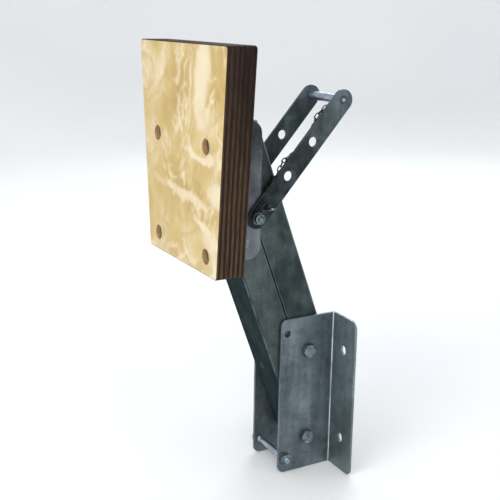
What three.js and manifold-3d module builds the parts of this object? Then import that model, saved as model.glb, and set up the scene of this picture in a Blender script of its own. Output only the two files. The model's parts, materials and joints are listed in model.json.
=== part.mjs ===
// Lifting outboard motor bracket: two transom angles, a parallelogram of two folded arms, a plywood
// motor pad on two pad angles, and a lifting handle with a locking pin on a chain.
//
// Millimetres, +Z up. The origin is the middle of the transom mounting plane; +X points into the
// boat, so the motor pad is at -X. Right is -Y and left is +Y. The pad is drawn in its raised place.
import * as THREE from "three";
import { mergeVertices } from "three/addons/utils/BufferGeometryUtils.js";
import Module from "manifold-3d";

const wasm = await Module();
wasm.setup();

// ---------- driving dimensions ----------
const GAP = 0.3; // clearance kept between pieces that touch
const PLATE = 4; // thickness of every folded plate and of the handle bars
const RIGHT = -1;
const LEFT = 1;
const SIDES = { right: RIGHT, left: LEFT };

const CHEEK_IN = 34.6; // inner face of the transom and pad angles, from the middle plane
const CHEEK_OUT = CHEEK_IN + PLATE;
const ARM_HALF = 34; // half the outside width of an arm channel
const BEND = 3; // inside radius of a folded corner
const ROUND = 16; // facets round a bolt or a hole
const DRILL = 10; // how far a drill runs past a plate
const BITE = 1; // how far a solid runs into the one it is joined to
const SLIVER = 0.01; // keeps the faces of two cuts apart

const TRANSOM = {
  depth: 92.75,
  height: 238.8,
  flangeReach: 93.4,
  webCorner: 10,
  flangeTopCorner: 15,
  flangeBottomCorner: 8,
  tieX: -81.9, // the tie rod's hole, and its twin near the top edge
  tieZ: 97.5,
  tieHole: 5.2,
  boltY: 66,
  boltZ: 69,
  boltHole: 5.5,
  boltSlot: 3, // extra length of the mounting slots, along Z
};
const PIVOT_X = -46.3; // transom ends of the arms
const PIVOT_Z = 67.7; // above and below the origin

const LEAN = THREE.MathUtils.degToRad(20.3); // the raised arms lean back from upright
const ARM_LENGTH = 330.4; // between an arm's pivots
const ARM_END = 14; // steel beyond each pivot
// Depths each side of an arm's pivot line, and the radius of its inboard corner at the pad.
const LOWER_ARM = { outboard: 12.5, inboard: 31, web: "outboard", padCorner: 13, vent: 117 };
const UPPER_ARM = { outboard: 14, inboard: 35.5, web: "inboard", padCorner: 4 };
const ARM_CORNERS = { outboard: 9, inboard: 13 }; // radii of the other corners
const VENT = { r: 4, y: 4 }; // drain hole in the lower arm's web

const PIVOT_BOLT = { r: 6, af: 19, head: 8, nut: 10.5, washer: 12, washerThick: 2.5, tip: 4 };
const SLEEVE_R = 8;
const TIE_ROD = { r: 4.8, af: 16, nut: 7, tip: 3 };
const CHAMFER = { inset: 0.4, slope: 0.28 }; // rim of a nut or a bolt head

const PAD = {
  back: -190.6,
  sheet: 20, // each of the two glued sheets
  bottom: 213.7,
  top: 503.2,
  halfTop: 133,
  halfBottom: 106,
  corner: 5,
  boltY: 74.8,
  boltZ: [238.3, 379],
  counterbore: 10,
  counterboreDepth: 9,
};
const PAD_ANGLE = {
  edge: -129.5, // inboard edge of the cheek
  bottom: 215.7,
  top: 404.1,
  flangeReach: 100,
  webCorner: 18,
  flangeCorner: 12,
};
const CARRIAGE = {
  r: 4.8,
  headR: 9.4,
  head: 4.5,
  rim: 0.6,
  af: 17,
  nut: 8,
  washer: 10.5,
  washerThick: 2,
  tip: 3,
};

const HANDLE = {
  pivot: [-136.8, 272.8], // X and Z
  grip: [-5.1, 426.2],
  half: 15,
  inner: CHEEK_OUT + 0.4,
  lockHoles: [71.5, 130], // from the pivot, along the bar
  lockHoleR: 6.7,
  parkHole: 20,
  parkHoleR: 5.4,
  pivotHoleR: 4.4,
  rodR: 6.5,
  spigotR: 5, // the rod's turned-down ends, which pass through the bars
  spigotTip: 0.5,
};
const HANDLE_OUT = HANDLE.inner + PLATE;
const HANDLE_SCREW = { r: 4, headR: 7.4, af: 13, nut: 6.5, washer: 8.5, washerThick: 1.6, tip: 2 };
const PIN = { r: 5, play: 0.5, shank: 14.5 };
const PIN_EYE = { width: 9, thick: 3, length: 9, hole: 2.4, corner: 3.5 };
const RING = { radius: 8, wire: 0.9 };
const SHACKLE_WIRE = 1.4;
const CHAIN_R = 2;

// ---------- finishes ----------
const finish = (color, roughness, metalness) =>
  new THREE.MeshStandardMaterial({ color, roughness, metalness });
const galvanised = finish(0x68757c, 0.5, 0.85);
const galvanisedDark = finish(0x454f52, 0.55, 0.8);
const zincBolt = finish(0x8c979d, 0.4, 0.9);
const chainSteel = finish(0x2f3436, 0.5, 0.9);
const plyFace = finish(0xd9b877, 0.55, 0);
const plyBack = finish(0x6b4a2f, 0.7, 0);

// ---------- solids: closed geometry in, closed geometry out ----------
function solid(geometry) {
  const bare = new THREE.BufferGeometry();
  const flat = geometry.index ? geometry.toNonIndexed() : geometry;
  bare.setAttribute("position", flat.getAttribute("position"));
  const merged = mergeVertices(bare, 1e-4);
  const vertProperties = new Float32Array(merged.attributes.position.array);
  const triVerts = new Uint32Array(merged.index.array);
  return new wasm.Manifold(new wasm.Mesh({ numProp: 3, vertProperties, triVerts }));
}

function geometryOf(shape) {
  const mesh = shape.getMesh();
  const geometry = new THREE.BufferGeometry();
  geometry.setAttribute("position", new THREE.BufferAttribute(mesh.vertProperties, 3));
  geometry.setIndex(new THREE.BufferAttribute(mesh.triVerts, 1));
  geometry.computeVertexNormals();
  return geometry;
}

function piece(name, shape, material) {
  const mesh = new THREE.Mesh(geometryOf(shape), material);
  mesh.name = name;
  return mesh;
}

// ---------- outlines and prisms ----------
// A closed outline through corners [a, b, radius]; a radius of 0 leaves the corner sharp.
function outline(corners) {
  const shape = new THREE.Shape();
  corners.forEach(([x, y, radius = 0], i) => {
    const here = new THREE.Vector2(x, y);
    const before = new THREE.Vector2(...corners.at(i - 1)).sub(here).normalize();
    const after = new THREE.Vector2(...corners[(i + 1) % corners.length]).sub(here).normalize();
    const place = i === 0 ? "moveTo" : "lineTo";
    if (!radius) {
      shape[place](x, y);
      return;
    }
    const half = Math.acos(THREE.MathUtils.clamp(before.dot(after), -1, 1)) / 2;
    const start = before.clone().multiplyScalar(radius / Math.tan(half)).add(here);
    const end = after.clone().multiplyScalar(radius / Math.tan(half)).add(here);
    const centre = before.add(after).normalize().multiplyScalar(radius / Math.sin(half)).add(here);
    const from = Math.atan2(start.y - centre.y, start.x - centre.x);
    const to = Math.atan2(end.y - centre.y, end.x - centre.x);
    const clockwise = start.clone().sub(centre).cross(end.clone().sub(centre)) < 0;
    shape[place](start.x, start.y);
    shape.absarc(centre.x, centre.y, radius, from, to, clockwise);
  });
  shape.closePath();
  return shape;
}

const extrude = (shape, depth, curveSegments = 4) =>
  new THREE.ExtrudeGeometry(shape, { depth, bevelEnabled: false, curveSegments });

// Prisms of an outline: in X and Z across Y, in Y and Z across X, and in X and Y across Z.
const acrossY = (shape, y0, y1) =>
  solid(extrude(shape, y1 - y0).rotateX(Math.PI / 2).translate(0, y1, 0));
const acrossZ = (shape, z0, z1) => solid(extrude(shape, z1 - z0).translate(0, 0, z0));
function acrossX(shape, x0, x1) {
  const upright = new THREE.Matrix4().makeBasis(
    new THREE.Vector3(0, 1, 0),
    new THREE.Vector3(0, 0, 1),
    new THREE.Vector3(1, 0, 0),
  );
  return solid(extrude(shape, x1 - x0).applyMatrix4(upright).translate(x0, 0, 0));
}

// A solid of revolution about Y, from a profile of [radius, y] that starts and ends on the axis.
const turned = (profile, segments = ROUND) =>
  solid(new THREE.LatheGeometry(profile.map((p) => new THREE.Vector2(...p)), segments));

// A round bar along Y, from y0 to y1, at x and z.
function barY(r, y0, y1, x = 0, z = 0, segments = ROUND) {
  const bar = new THREE.CylinderGeometry(r, r, Math.abs(y1 - y0), segments);
  return solid(bar.translate(x, (y0 + y1) / 2, z));
}
// A round bar along X, from x0 to x1, at y and z.
function barX(r, x0, x1, y = 0, z = 0, segments = ROUND) {
  const bar = new THREE.CylinderGeometry(r, r, Math.abs(x1 - x0), segments);
  return solid(bar.rotateZ(Math.PI / 2).translate((x0 + x1) / 2, y, z));
}

// ---------- fasteners, modelled along +Y with the seat at y = 0 ----------
// A hexagon whose outer end is chamfered; af is the width across flats.
function hexagon(af, height) {
  const corner = af / Math.sqrt(3);
  const past = corner + BITE;
  const flat = af / 2 - CHAMFER.inset;
  const hex = solid(new THREE.CylinderGeometry(corner, corner, height, 6).translate(0, height / 2, 0));
  const cone = turned(
    [
      [0, -BITE],
      [past, -BITE],
      [past, height - (past - flat) * CHAMFER.slope],
      [flat, height + SLIVER],
      [0, height + SLIVER],
    ],
    12,
  );
  return hex.intersect(cone);
}

const drilled = (shape, bore, thick) => shape.subtract(barY(bore, -BITE, thick + BITE));
const hexNut = (af, height, bore) => drilled(hexagon(af, height), bore, height);
const washer = (outer, inner, thick) => drilled(barY(outer, 0, thick), inner, thick);
// A hex bolt: its head stands on +Y and its shank runs towards -Y.
const hexBolt = (r, af, head, shank) => hexagon(af, head).add(barY(r, -shank, BITE));

// Puts a piece that was modelled along +Y at a place, pointing along direction.
function fit(mesh, [x, y, z], direction) {
  mesh.position.set(x, y, z);
  mesh.quaternion.setFromUnitVectors(new THREE.Vector3(0, 1, 0), direction.clone().normalize());
  return mesh;
}
const ALONG = {
  right: new THREE.Vector3(0, -1, 0),
  left: new THREE.Vector3(0, 1, 0),
  inboard: new THREE.Vector3(1, 0, 0),
  outboard: new THREE.Vector3(-1, 0, 0),
};

// ---------- folded angles ----------
// An L in X and Y: the flange's back lies on x = back, and the web runs to x = edge.
function foldedAngle(side, spec) {
  const { back, edge, bottom, top, reach, webTop, webBottom, flangeTop, flangeBottom } = spec;
  const inward = Math.sign(edge - back);
  const front = back + inward * PLATE;
  const profile = outline([
    [edge, side * CHEEK_IN],
    [back, side * CHEEK_IN, BEND + PLATE],
    [back, side * reach],
    [front, side * reach],
    [front, side * CHEEK_OUT, BEND],
    [edge, side * CHEEK_OUT],
  ]);
  const webSide = outline([
    [edge, bottom, webBottom],
    [back - inward, bottom],
    [back - inward, top],
    [edge, top, webTop],
  ]);
  const flangeSide = outline([
    [side * (CHEEK_IN - BITE), bottom],
    [side * reach, bottom, flangeBottom],
    [side * reach, top, flangeTop],
    [side * (CHEEK_IN - BITE), top],
  ]);
  const [least, most] = [back, edge].sort((a, b) => a - b);
  return acrossZ(profile, bottom, top)
    .intersect(acrossY(webSide, -reach - BITE, reach + BITE))
    .intersect(acrossX(flangeSide, least - BITE, most + BITE));
}

// A drill through one cheek, at x and z.
const cheekDrill = (side, r, x, z) =>
  barY(r, side * CHEEK_IN - DRILL, side * CHEEK_IN + DRILL, x, z);

// A bar's outline with full round ends: half is half its width, and its ends are at low and high.
function roundEnded(middle, half, low, high) {
  const end = half - SLIVER;
  return outline([
    [middle - half, low, end],
    [middle + half, low, end],
    [middle + half, high, end],
    [middle - half, high, end],
  ]);
}

// A slot across X: a hole of radius r stretched by extra along Z.
const slotX = (r, extra, x0, x1, y, z) =>
  acrossX(roundEnded(y, r, z - r - extra / 2, z + r + extra / 2), x0, x1);

function transomAngle(name, side) {
  let shape = foldedAngle(side, {
    back: 0,
    edge: -TRANSOM.depth,
    bottom: -TRANSOM.height / 2,
    top: TRANSOM.height / 2,
    reach: TRANSOM.flangeReach,
    webTop: TRANSOM.webCorner,
    webBottom: TRANSOM.webCorner,
    flangeTop: TRANSOM.flangeTopCorner,
    flangeBottom: TRANSOM.flangeBottomCorner,
  });
  const { tieHole, tieX, tieZ, boltHole, boltSlot, boltY, boltZ } = TRANSOM;
  for (const up of [-1, 1])
    shape = shape
      .subtract(cheekDrill(side, PIVOT_BOLT.r + GAP, PIVOT_X, up * PIVOT_Z))
      .subtract(cheekDrill(side, tieHole, tieX, up * tieZ))
      .subtract(slotX(boltHole, boltSlot, -DRILL, DRILL, side * boltY, up * boltZ));
  return piece(name, shape, galvanised);
}

function padAngle(name, side) {
  const { edge, bottom, top, flangeReach, webCorner, flangeCorner } = PAD_ANGLE;
  let shape = foldedAngle(side, {
    back: PAD.back + GAP,
    edge,
    bottom,
    top,
    reach: flangeReach,
    webTop: webCorner,
    webBottom: webCorner,
    flangeTop: flangeCorner,
    flangeBottom: flangeCorner,
  });
  for (const [x, z] of padPivots())
    shape = shape.subtract(cheekDrill(side, PIVOT_BOLT.r + GAP, x, z));
  for (const z of PAD.boltZ) {
    const span = [PAD.back - DRILL, PAD.back + DRILL];
    shape = shape.subtract(barX(CARRIAGE.r + GAP, ...span, side * PAD.boltY, z));
  }
  const sink = cheekDrill(side, HANDLE_SCREW.r + GAP, 0, 0).add(countersink(side, GAP));
  return piece(name, shape.subtract(sink.translate(...at(HANDLE.pivot))), galvanised);
}

const at = ([x, z]) => [x, 0, z];

// The pad ends of the upper and the lower arm, as [X, Z].
function padPivots() {
  const dx = -ARM_LENGTH * Math.sin(LEAN);
  const dz = ARM_LENGTH * Math.cos(LEAN);
  return [1, -1].map((up) => [PIVOT_X + dx, up * PIVOT_Z + dz]);
}

// The cone of a flat-headed screw whose head lies flush with the inner face of a pad angle.
function countersink(side, grow) {
  const { r, headR } = HANDLE_SCREW;
  const rim = GAP + 2 * grow;
  const depth = rim + headR - r;
  const cone = turned([
    [0, 0],
    [headR + grow, 0],
    [headR + grow, rim],
    [r + grow, depth],
    [0, depth],
  ]);
  const seat = CHEEK_IN + (grow ? -SLIVER : GAP);
  return side === LEFT
    ? cone.translate(0, seat, 0)
    : cone.rotate(180, 0, 0).translate(0, -seat, 0);
}

// ---------- arms, modelled upright: +Z from the transom pivot to the pad pivot, +X inboard ----------
function arm(name, { outboard, inboard, web, padCorner, vent }, lockHole) {
  const low = -ARM_END;
  const high = ARM_LENGTH + ARM_END;
  const closed = web === "outboard" ? -outboard : inboard;
  const open = web === "outboard" ? inboard : -outboard;
  const inner = closed + Math.sign(open - closed) * PLATE;
  const channel = outline([
    [open, -ARM_HALF],
    [closed, -ARM_HALF, BEND + PLATE],
    [closed, ARM_HALF, BEND + PLATE],
    [open, ARM_HALF],
    [open, ARM_HALF - PLATE],
    [inner, ARM_HALF - PLATE, BEND],
    [inner, PLATE - ARM_HALF, BEND],
    [open, PLATE - ARM_HALF],
  ]);
  const side = outline([
    [-outboard, low, ARM_CORNERS.outboard],
    [inboard, low, ARM_CORNERS.inboard],
    [inboard, high, padCorner],
    [-outboard, high, ARM_CORNERS.outboard],
  ]);
  const across = [-ARM_HALF - DRILL, ARM_HALF + DRILL];
  let shape = acrossZ(channel, low - BITE, high + BITE).intersect(acrossY(side, ...across));
  for (const z of [0, ARM_LENGTH])
    shape = shape.subtract(barY(PIVOT_BOLT.r + GAP, ...across, 0, z));
  if (vent) shape = shape.subtract(barX(VENT.r, closed - DRILL, closed + DRILL, VENT.y, vent));
  if (lockHole)
    shape = shape.subtract(barY(PIN.r + PIN.play, ...across, lockHole.x, lockHole.z));
  return piece(name, shape, galvanised);
}

// A spacer tube on a pivot bolt, between the two walls of an arm and clear of its folded corners.
function sleeve(name) {
  const half = ARM_HALF - PLATE - BEND;
  const bore = barY(PIVOT_BOLT.r + GAP, -half - BITE, half + BITE);
  const tube = barY(SLEEVE_R, -half, half).subtract(bore);
  return piece(name, tube, zincBolt);
}

// ---------- a pivot bolt with its nut, washer and sleeve ----------
function pivotSet(prefix, [x, z]) {
  const { r, af, head, nut, washer: outer, washerThick, tip } = PIVOT_BOLT;
  const group = new THREE.Group();
  const seat = CHEEK_OUT + GAP;
  const farSeat = seat + washerThick + GAP;
  const shank = seat + farSeat + nut + tip;
  const bolt = piece(prefix + "_bolt", hexBolt(r, af, head, shank), zincBolt);
  const ring = piece(prefix + "_washer", washer(outer, r + GAP, washerThick), zincBolt);
  const holder = piece(prefix + "_nut", hexNut(af, nut, r + GAP), zincBolt);
  group.add(fit(bolt, [x, -seat, z], ALONG.right));
  group.add(fit(ring, [x, seat, z], ALONG.left));
  group.add(fit(holder, [x, farSeat, z], ALONG.left));
  return group;
}

// ---------- tie rod across the foot of the transom angles ----------
function tieRod() {
  const group = new THREE.Group();
  const { r, af, nut, tip } = TIE_ROD;
  const { tieX, tieZ } = TRANSOM;
  const seat = CHEEK_OUT + GAP;
  const end = seat + nut + tip;
  group.add(piece("tie_rod", barY(r, -end, end, tieX, -tieZ), zincBolt));
  for (const [name, side] of Object.entries(SIDES)) {
    const holder = piece("tie_rod_nut_" + name, hexNut(af, nut, r + GAP), zincBolt);
    group.add(fit(holder, [tieX, side * seat, -tieZ], ALONG[name]));
  }
  return group;
}

// ---------- motor pad ----------
function padBoard(name, x0, x1, boreR, material) {
  const { halfTop, halfBottom, bottom, top, corner, boltY, boltZ } = PAD;
  const face = outline([
    [-halfBottom, bottom, corner],
    [halfBottom, bottom, corner],
    [halfTop, top, corner],
    [-halfTop, top, corner],
  ]);
  let shape = acrossX(face, x0, x1);
  for (const y of [-boltY, boltY])
    for (const z of boltZ) {
      shape = shape.subtract(barX(CARRIAGE.r + GAP, x0 - BITE, x1 + BITE, y, z));
      if (boreR) shape = shape.subtract(barX(boreR, x0 - BITE, x0 + PAD.counterboreDepth, y, z));
    }
  return piece(name, shape, material);
}

function domedHead({ headR, head, rim }) {
  const steps = 3;
  const profile = [
    [0, 0],
    [headR, 0],
  ];
  for (let i = 0; i < steps; i++) {
    const turn = (i / steps) * (Math.PI / 2);
    profile.push([headR * Math.cos(turn), rim + (head - rim) * Math.sin(turn)]);
  }
  return turned([...profile, [0, head]]);
}

function padBolt(suffix, y, z) {
  const { r, af, nut, washer: outer, washerThick, tip } = CARRIAGE;
  const group = new THREE.Group();
  const seat = PAD.back - 2 * PAD.sheet + PAD.counterboreDepth - GAP;
  const steel = PAD.back + GAP + PLATE + GAP;
  const nutSeat = steel + washerThick + GAP;
  const shank = nutSeat + nut + tip - seat;
  const bolt = domedHead(CARRIAGE).add(barY(r, -shank, BITE));
  const ring = washer(outer, r + GAP, washerThick);
  group.add(fit(piece("pad_bolt_" + suffix, bolt, zincBolt), [seat, y, z], ALONG.outboard));
  group.add(fit(piece("pad_washer_" + suffix, ring, zincBolt), [steel, y, z], ALONG.inboard));
  const holder = piece("pad_nut_" + suffix, hexNut(af, nut, r + GAP), zincBolt);
  group.add(fit(holder, [nutSeat, y, z], ALONG.inboard));
  return group;
}

function motorPad() {
  const group = new THREE.Group();
  const middle = PAD.back - PAD.sheet;
  const front = middle - PAD.sheet;
  group.add(padBoard("pad_front_board", front, middle - GAP / 2, PAD.counterbore, plyFace));
  group.add(padBoard("pad_back_board", middle + GAP / 2, PAD.back, 0, plyBack));
  for (const [name, side] of Object.entries(SIDES)) {
    group.add(padAngle("pad_angle_" + name, side));
    ["lower", "upper"].forEach((level, i) =>
      group.add(padBolt(level + "_" + name, side * PAD.boltY, PAD.boltZ[i])),
    );
  }
  return group;
}

// ---------- handle, modelled upright: +Z from the pivot to the grip ----------
const HANDLE_RUN = new THREE.Vector2(
  HANDLE.grip[0] - HANDLE.pivot[0],
  HANDLE.grip[1] - HANDLE.pivot[1],
);
const HANDLE_LENGTH = HANDLE_RUN.length();
const HANDLE_TURN = Math.atan2(HANDLE_RUN.x, HANDLE_RUN.y);

function handleBar(name, side) {
  const { half, inner, lockHoles, lockHoleR, parkHole, parkHoleR, pivotHoleR, spigotR } = HANDLE;
  const bar = roundEnded(0, half, -half, HANDLE_LENGTH + half);
  const span = [inner, HANDLE_OUT].map((y) => side * y).sort((a, b) => a - b);
  const drill = [span[0] - BITE, span[1] + BITE];
  let shape = acrossY(bar, ...span)
    .subtract(barY(pivotHoleR, ...drill))
    .subtract(barY(parkHoleR, ...drill, 0, parkHole))
    .subtract(barY(spigotR + GAP, ...drill, 0, HANDLE_LENGTH));
  for (const z of lockHoles) shape = shape.subtract(barY(lockHoleR, ...drill, 0, z));
  return piece(name, shape, galvanisedDark);
}

function gripRod() {
  const { inner, rodR, spigotR } = HANDLE;
  const half = inner - GAP;
  const tip = HANDLE_OUT + HANDLE.spigotTip;
  const rod = barY(rodR, -half, half).add(barY(spigotR, -tip, tip));
  return piece("grip_rod", rod.translate(0, 0, HANDLE_LENGTH), zincBolt);
}

// The handle's pivot screw: flush inside the pad angle, a washer and a nut outside the bar.
function handlePivot(name, side) {
  const group = new THREE.Group();
  const { r, af, nut, washer: outer, washerThick, tip: past } = HANDLE_SCREW;
  const seat = HANDLE_OUT + GAP;
  const nutSeat = seat + washerThick + GAP;
  const tip = nutSeat + nut + past;
  const [y0, y1] = [CHEEK_IN + BITE, tip].map((y) => side * y);
  const screw = countersink(side, 0).add(barY(r, y0, y1));
  group.add(piece("handle_screw_" + name, screw, zincBolt));
  const ring = piece("handle_washer_" + name, washer(outer, r + GAP, washerThick), zincBolt);
  const holder = piece("handle_nut_" + name, hexNut(af, nut, r + GAP), zincBolt);
  group.add(fit(ring, [0, side * seat, 0], ALONG[name]));
  group.add(fit(holder, [0, side * nutSeat, 0], ALONG[name]));
  group.position.set(...at(HANDLE.pivot));
  return group;
}

// A point in the handle's own upright frame, taken to the bracket's frame: [X, Z].
function fromHandle(across, along) {
  const [cos, sin] = [Math.cos(HANDLE_TURN), Math.sin(HANDLE_TURN)];
  const [x, z] = HANDLE.pivot;
  return [x + across * cos + along * sin, z - across * sin + along * cos];
}
const PIN_PLACE = fromHandle(0, HANDLE.parkHole);

// The locking pin stands drawn back, its tip just inside the right bar, and points along +Y.
const PIN_TIP = -HANDLE.inner - GAP;
const PIN_BACK = PIN_TIP - PIN.shank;
const RING_Y = PIN_BACK - PIN_EYE.length / 2;

function lockingPin() {
  const { width, thick, length, hole, corner } = PIN_EYE;
  const tab = outline([
    [-width / 2, PIN_BACK + BITE],
    [-width / 2, PIN_BACK - length, corner],
    [width / 2, PIN_BACK - length, corner],
    [width / 2, PIN_BACK + BITE],
  ]);
  const eye = new THREE.CylinderGeometry(hole, hole, thick + 2 * BITE, 12)
    .rotateX(Math.PI / 2)
    .translate(0, RING_Y, 0);
  const pin = barY(PIN.r, PIN_BACK, PIN_TIP)
    .add(acrossZ(tab, -thick / 2, thick / 2))
    .subtract(solid(eye));
  const mesh = piece("locking_pin", pin, zincBolt);
  mesh.position.set(...at(PIN_PLACE));
  return mesh;
}

function pinRing() {
  const { radius, wire } = RING;
  const torus = new THREE.TorusGeometry(radius, wire, 6, 24).rotateX(Math.PI / 2);
  const mesh = piece("pin_ring", solid(torus), chainSteel);
  mesh.position.set(PIN_PLACE[0] - radius, RING_Y, PIN_PLACE[1]);
  return mesh;
}

// The chain's middle line, as [across the bar, Y, along the bar] in the handle's upright frame. It
// leaves the shackle at the grip, hangs inside the right bar, and comes round its edge to the ring.
const CHAIN_ROUTE = [
  [-9.6, -36.3, 189],
  [-12.5, -36.3, 181],
  [-14.2, -36.3, 172],
  [-15.8, -36.4, 164],
  [-15.4, -36.5, 157],
  [-11.5, -36.5, 150],
  [-8, -36.4, 138],
  [-7.5, -36.4, 118],
  [-9.5, -36.4, 104],
  [-12, -36.4, 96],
  [-15, -36.5, 90],
  [-17.8, -38, 84],
  [-18.8, -41.6, 77],
  [-18.8, -45, 69],
  [-18, -47.2, 59],
  [-17, -48.8, 44],
  [-15.2, -52.5, 26],
];

function pinChain() {
  const points = CHAIN_ROUTE.map((p) => new THREE.Vector3(...p));
  const curve = new THREE.CatmullRomCurve3(points, false, "centripetal");
  const section = new THREE.Shape().absarc(0, 0, CHAIN_R, 0, 2 * Math.PI);
  const tube = new THREE.ExtrudeGeometry(section, {
    steps: 40,
    curveSegments: 4,
    extrudePath: curve,
    bevelEnabled: false,
  });
  return piece("pin_chain", solid(tube), chainSteel);
}

// A small bow around the grip rod that the chain's first link hangs on.
function chainShackle() {
  const radius = HANDLE.rodR + SHACKLE_WIRE + GAP;
  const bow = new THREE.TorusGeometry(radius, SHACKLE_WIRE, 6, 20).rotateX(Math.PI / 2);
  const mesh = piece("chain_shackle", solid(bow), chainSteel);
  mesh.position.set(0, CHAIN_ROUTE[0][1], HANDLE_LENGTH);
  return mesh;
}

// ---------- the whole bracket ----------
function build() {
  const bracket = new THREE.Group();

  for (const [name, side] of Object.entries(SIDES))
    bracket.add(transomAngle("transom_angle_" + name, side));
  bracket.add(tieRod());

  const [padUpper, padLower] = padPivots();
  const levels = [
    ["lower", -PIVOT_Z, LOWER_ARM, padLower],
    ["upper", PIVOT_Z, UPPER_ARM, padUpper],
  ];
  for (const [level, z, spec, padEnd] of levels) {
    const leaning = new THREE.Group();
    leaning.position.set(PIVOT_X, 0, z);
    leaning.rotation.y = -LEAN;
    leaning.updateMatrixWorld(true);
    const pin = new THREE.Vector3(PIN_PLACE[0], 0, PIN_PLACE[1]);
    const lockHole = level === "upper" ? leaning.worldToLocal(pin) : null;
    leaning.add(arm(level + "_arm", spec, lockHole));
    for (const [end, height] of Object.entries({ transom: 0, pad: ARM_LENGTH })) {
      const tube = sleeve([level, "arm", end, "sleeve"].join("_"));
      tube.position.z = height;
      leaning.add(tube);
    }
    bracket.add(leaning);
    bracket.add(pivotSet("transom_" + level, [PIVOT_X, z]));
    bracket.add(pivotSet("pad_" + level, padEnd));
  }

  bracket.add(motorPad());

  const handle = new THREE.Group();
  handle.position.set(...at(HANDLE.pivot));
  handle.rotation.y = HANDLE_TURN;
  for (const [name, side] of Object.entries(SIDES)) {
    handle.add(handleBar("handle_bar_" + name, side));
    bracket.add(handlePivot(name, side));
  }
  handle.add(gripRod(), pinChain(), chainShackle());
  bracket.add(handle, lockingPin(), pinRing());
  return bracket;
}

export default build();
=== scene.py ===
import json
import math

import bmesh
import bpy
from mathutils import Matrix, Vector
from mathutils.geometry import tessellate_polygon
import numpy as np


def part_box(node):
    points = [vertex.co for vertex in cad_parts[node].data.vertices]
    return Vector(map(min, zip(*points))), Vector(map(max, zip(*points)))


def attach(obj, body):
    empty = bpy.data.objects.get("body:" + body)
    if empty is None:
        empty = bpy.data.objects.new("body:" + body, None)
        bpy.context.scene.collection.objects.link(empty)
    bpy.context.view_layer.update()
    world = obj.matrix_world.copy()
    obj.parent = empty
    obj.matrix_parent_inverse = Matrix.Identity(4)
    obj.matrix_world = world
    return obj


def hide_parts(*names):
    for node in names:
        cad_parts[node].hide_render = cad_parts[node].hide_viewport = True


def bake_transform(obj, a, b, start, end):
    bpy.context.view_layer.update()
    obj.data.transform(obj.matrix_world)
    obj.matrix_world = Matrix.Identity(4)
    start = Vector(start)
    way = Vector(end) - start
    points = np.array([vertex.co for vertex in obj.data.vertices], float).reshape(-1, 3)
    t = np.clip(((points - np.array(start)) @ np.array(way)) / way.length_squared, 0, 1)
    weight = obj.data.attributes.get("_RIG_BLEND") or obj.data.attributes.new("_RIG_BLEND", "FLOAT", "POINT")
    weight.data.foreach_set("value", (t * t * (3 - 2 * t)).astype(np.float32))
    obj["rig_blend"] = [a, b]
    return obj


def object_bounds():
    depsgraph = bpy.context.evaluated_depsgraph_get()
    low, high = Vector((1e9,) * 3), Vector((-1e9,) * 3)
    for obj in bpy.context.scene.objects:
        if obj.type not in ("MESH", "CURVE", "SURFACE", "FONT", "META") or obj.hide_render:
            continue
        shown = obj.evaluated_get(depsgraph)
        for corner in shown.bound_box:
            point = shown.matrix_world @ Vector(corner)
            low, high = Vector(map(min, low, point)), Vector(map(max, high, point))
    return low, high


# A lifting outboard motor bracket: two folded transom angles, two folded arms, a plywood motor pad on
# two pad angles, and a lifting handle with its locking pin on a chain. Shapes are drawn in millimetres
# and scaled to the frame's metres as each piece is made. Right is -Y and left is +Y.

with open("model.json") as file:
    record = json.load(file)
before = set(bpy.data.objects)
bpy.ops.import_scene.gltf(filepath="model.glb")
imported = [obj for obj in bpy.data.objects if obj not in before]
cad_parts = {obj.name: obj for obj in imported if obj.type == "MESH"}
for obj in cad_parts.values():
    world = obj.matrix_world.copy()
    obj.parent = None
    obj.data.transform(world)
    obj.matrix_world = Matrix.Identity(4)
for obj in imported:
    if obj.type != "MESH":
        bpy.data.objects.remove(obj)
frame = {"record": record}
cad_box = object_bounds()

MM = 0.001
RIGHT = -1
LEFT = 1
SIDES = {"right": RIGHT, "left": LEFT}
ALONG = {
    "right": Vector((0, -1, 0)),
    "left": Vector((0, 1, 0)),
    "inboard": Vector((1, 0, 0)),
    "outboard": Vector((-1, 0, 0)),
}
BODIES = frame["record"]["behaviour"]["bodies"]


# ---------- places and sizes, read from the frame ----------
def corners_of(node):
    """A node's lowest and highest corners, in millimetres."""
    low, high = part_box(node)
    return low / MM, high / MM


def middle_of(node):
    low, high = corners_of(node)
    return (low + high) / 2


def body_of(node):
    return next(body for body, nodes in BODIES.items() if node in nodes)


PLATE = 4  # every folded plate and the handle bars
BEND = 3  # inside radius of a fold
GAP = 0.3  # clearance between pieces that touch
BURR = 0.55  # how far a plate's edges are rounded

CHEEK_IN = corners_of("transom_angle_left")[0].y
CHEEK_OUT = CHEEK_IN + PLATE
ARM_HALF = 34
ARM_END = 14
LOWER_ARM = {"outboard": 12.5, "inboard": 31, "web": "outboard", "vent": 117}
UPPER_ARM = {"outboard": 14, "inboard": 35.5, "web": "inboard", "vent": None}
SLEEVE_R = 8

PIVOT_BOLT = {"r": 6, "af": 19, "head": 8, "washer": 12}
CARRIAGE = {"r": 4.8, "head_r": 9.4, "head": 4.5, "af": 17, "washer": 10.5}
HANDLE_SCREW = {"r": 4, "head_r": 7.4, "af": 13, "washer": 8.5}
TIE_ROD = {"r": 4.8, "af": 16}
MOUNT_SLOT = {"y": 66, "z": 69, "r": 5.5, "extra": 3}
PAD_HALF_BOTTOM = 106
PAD_CORNER = 5
COUNTERBORE = {"r": 10, "depth": 9}
HANDLE = {"half": 15, "lock_holes": (71.5, 130), "lock_r": 6.7, "park_r": 5.4, "rod_r": 6.5}


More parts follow.
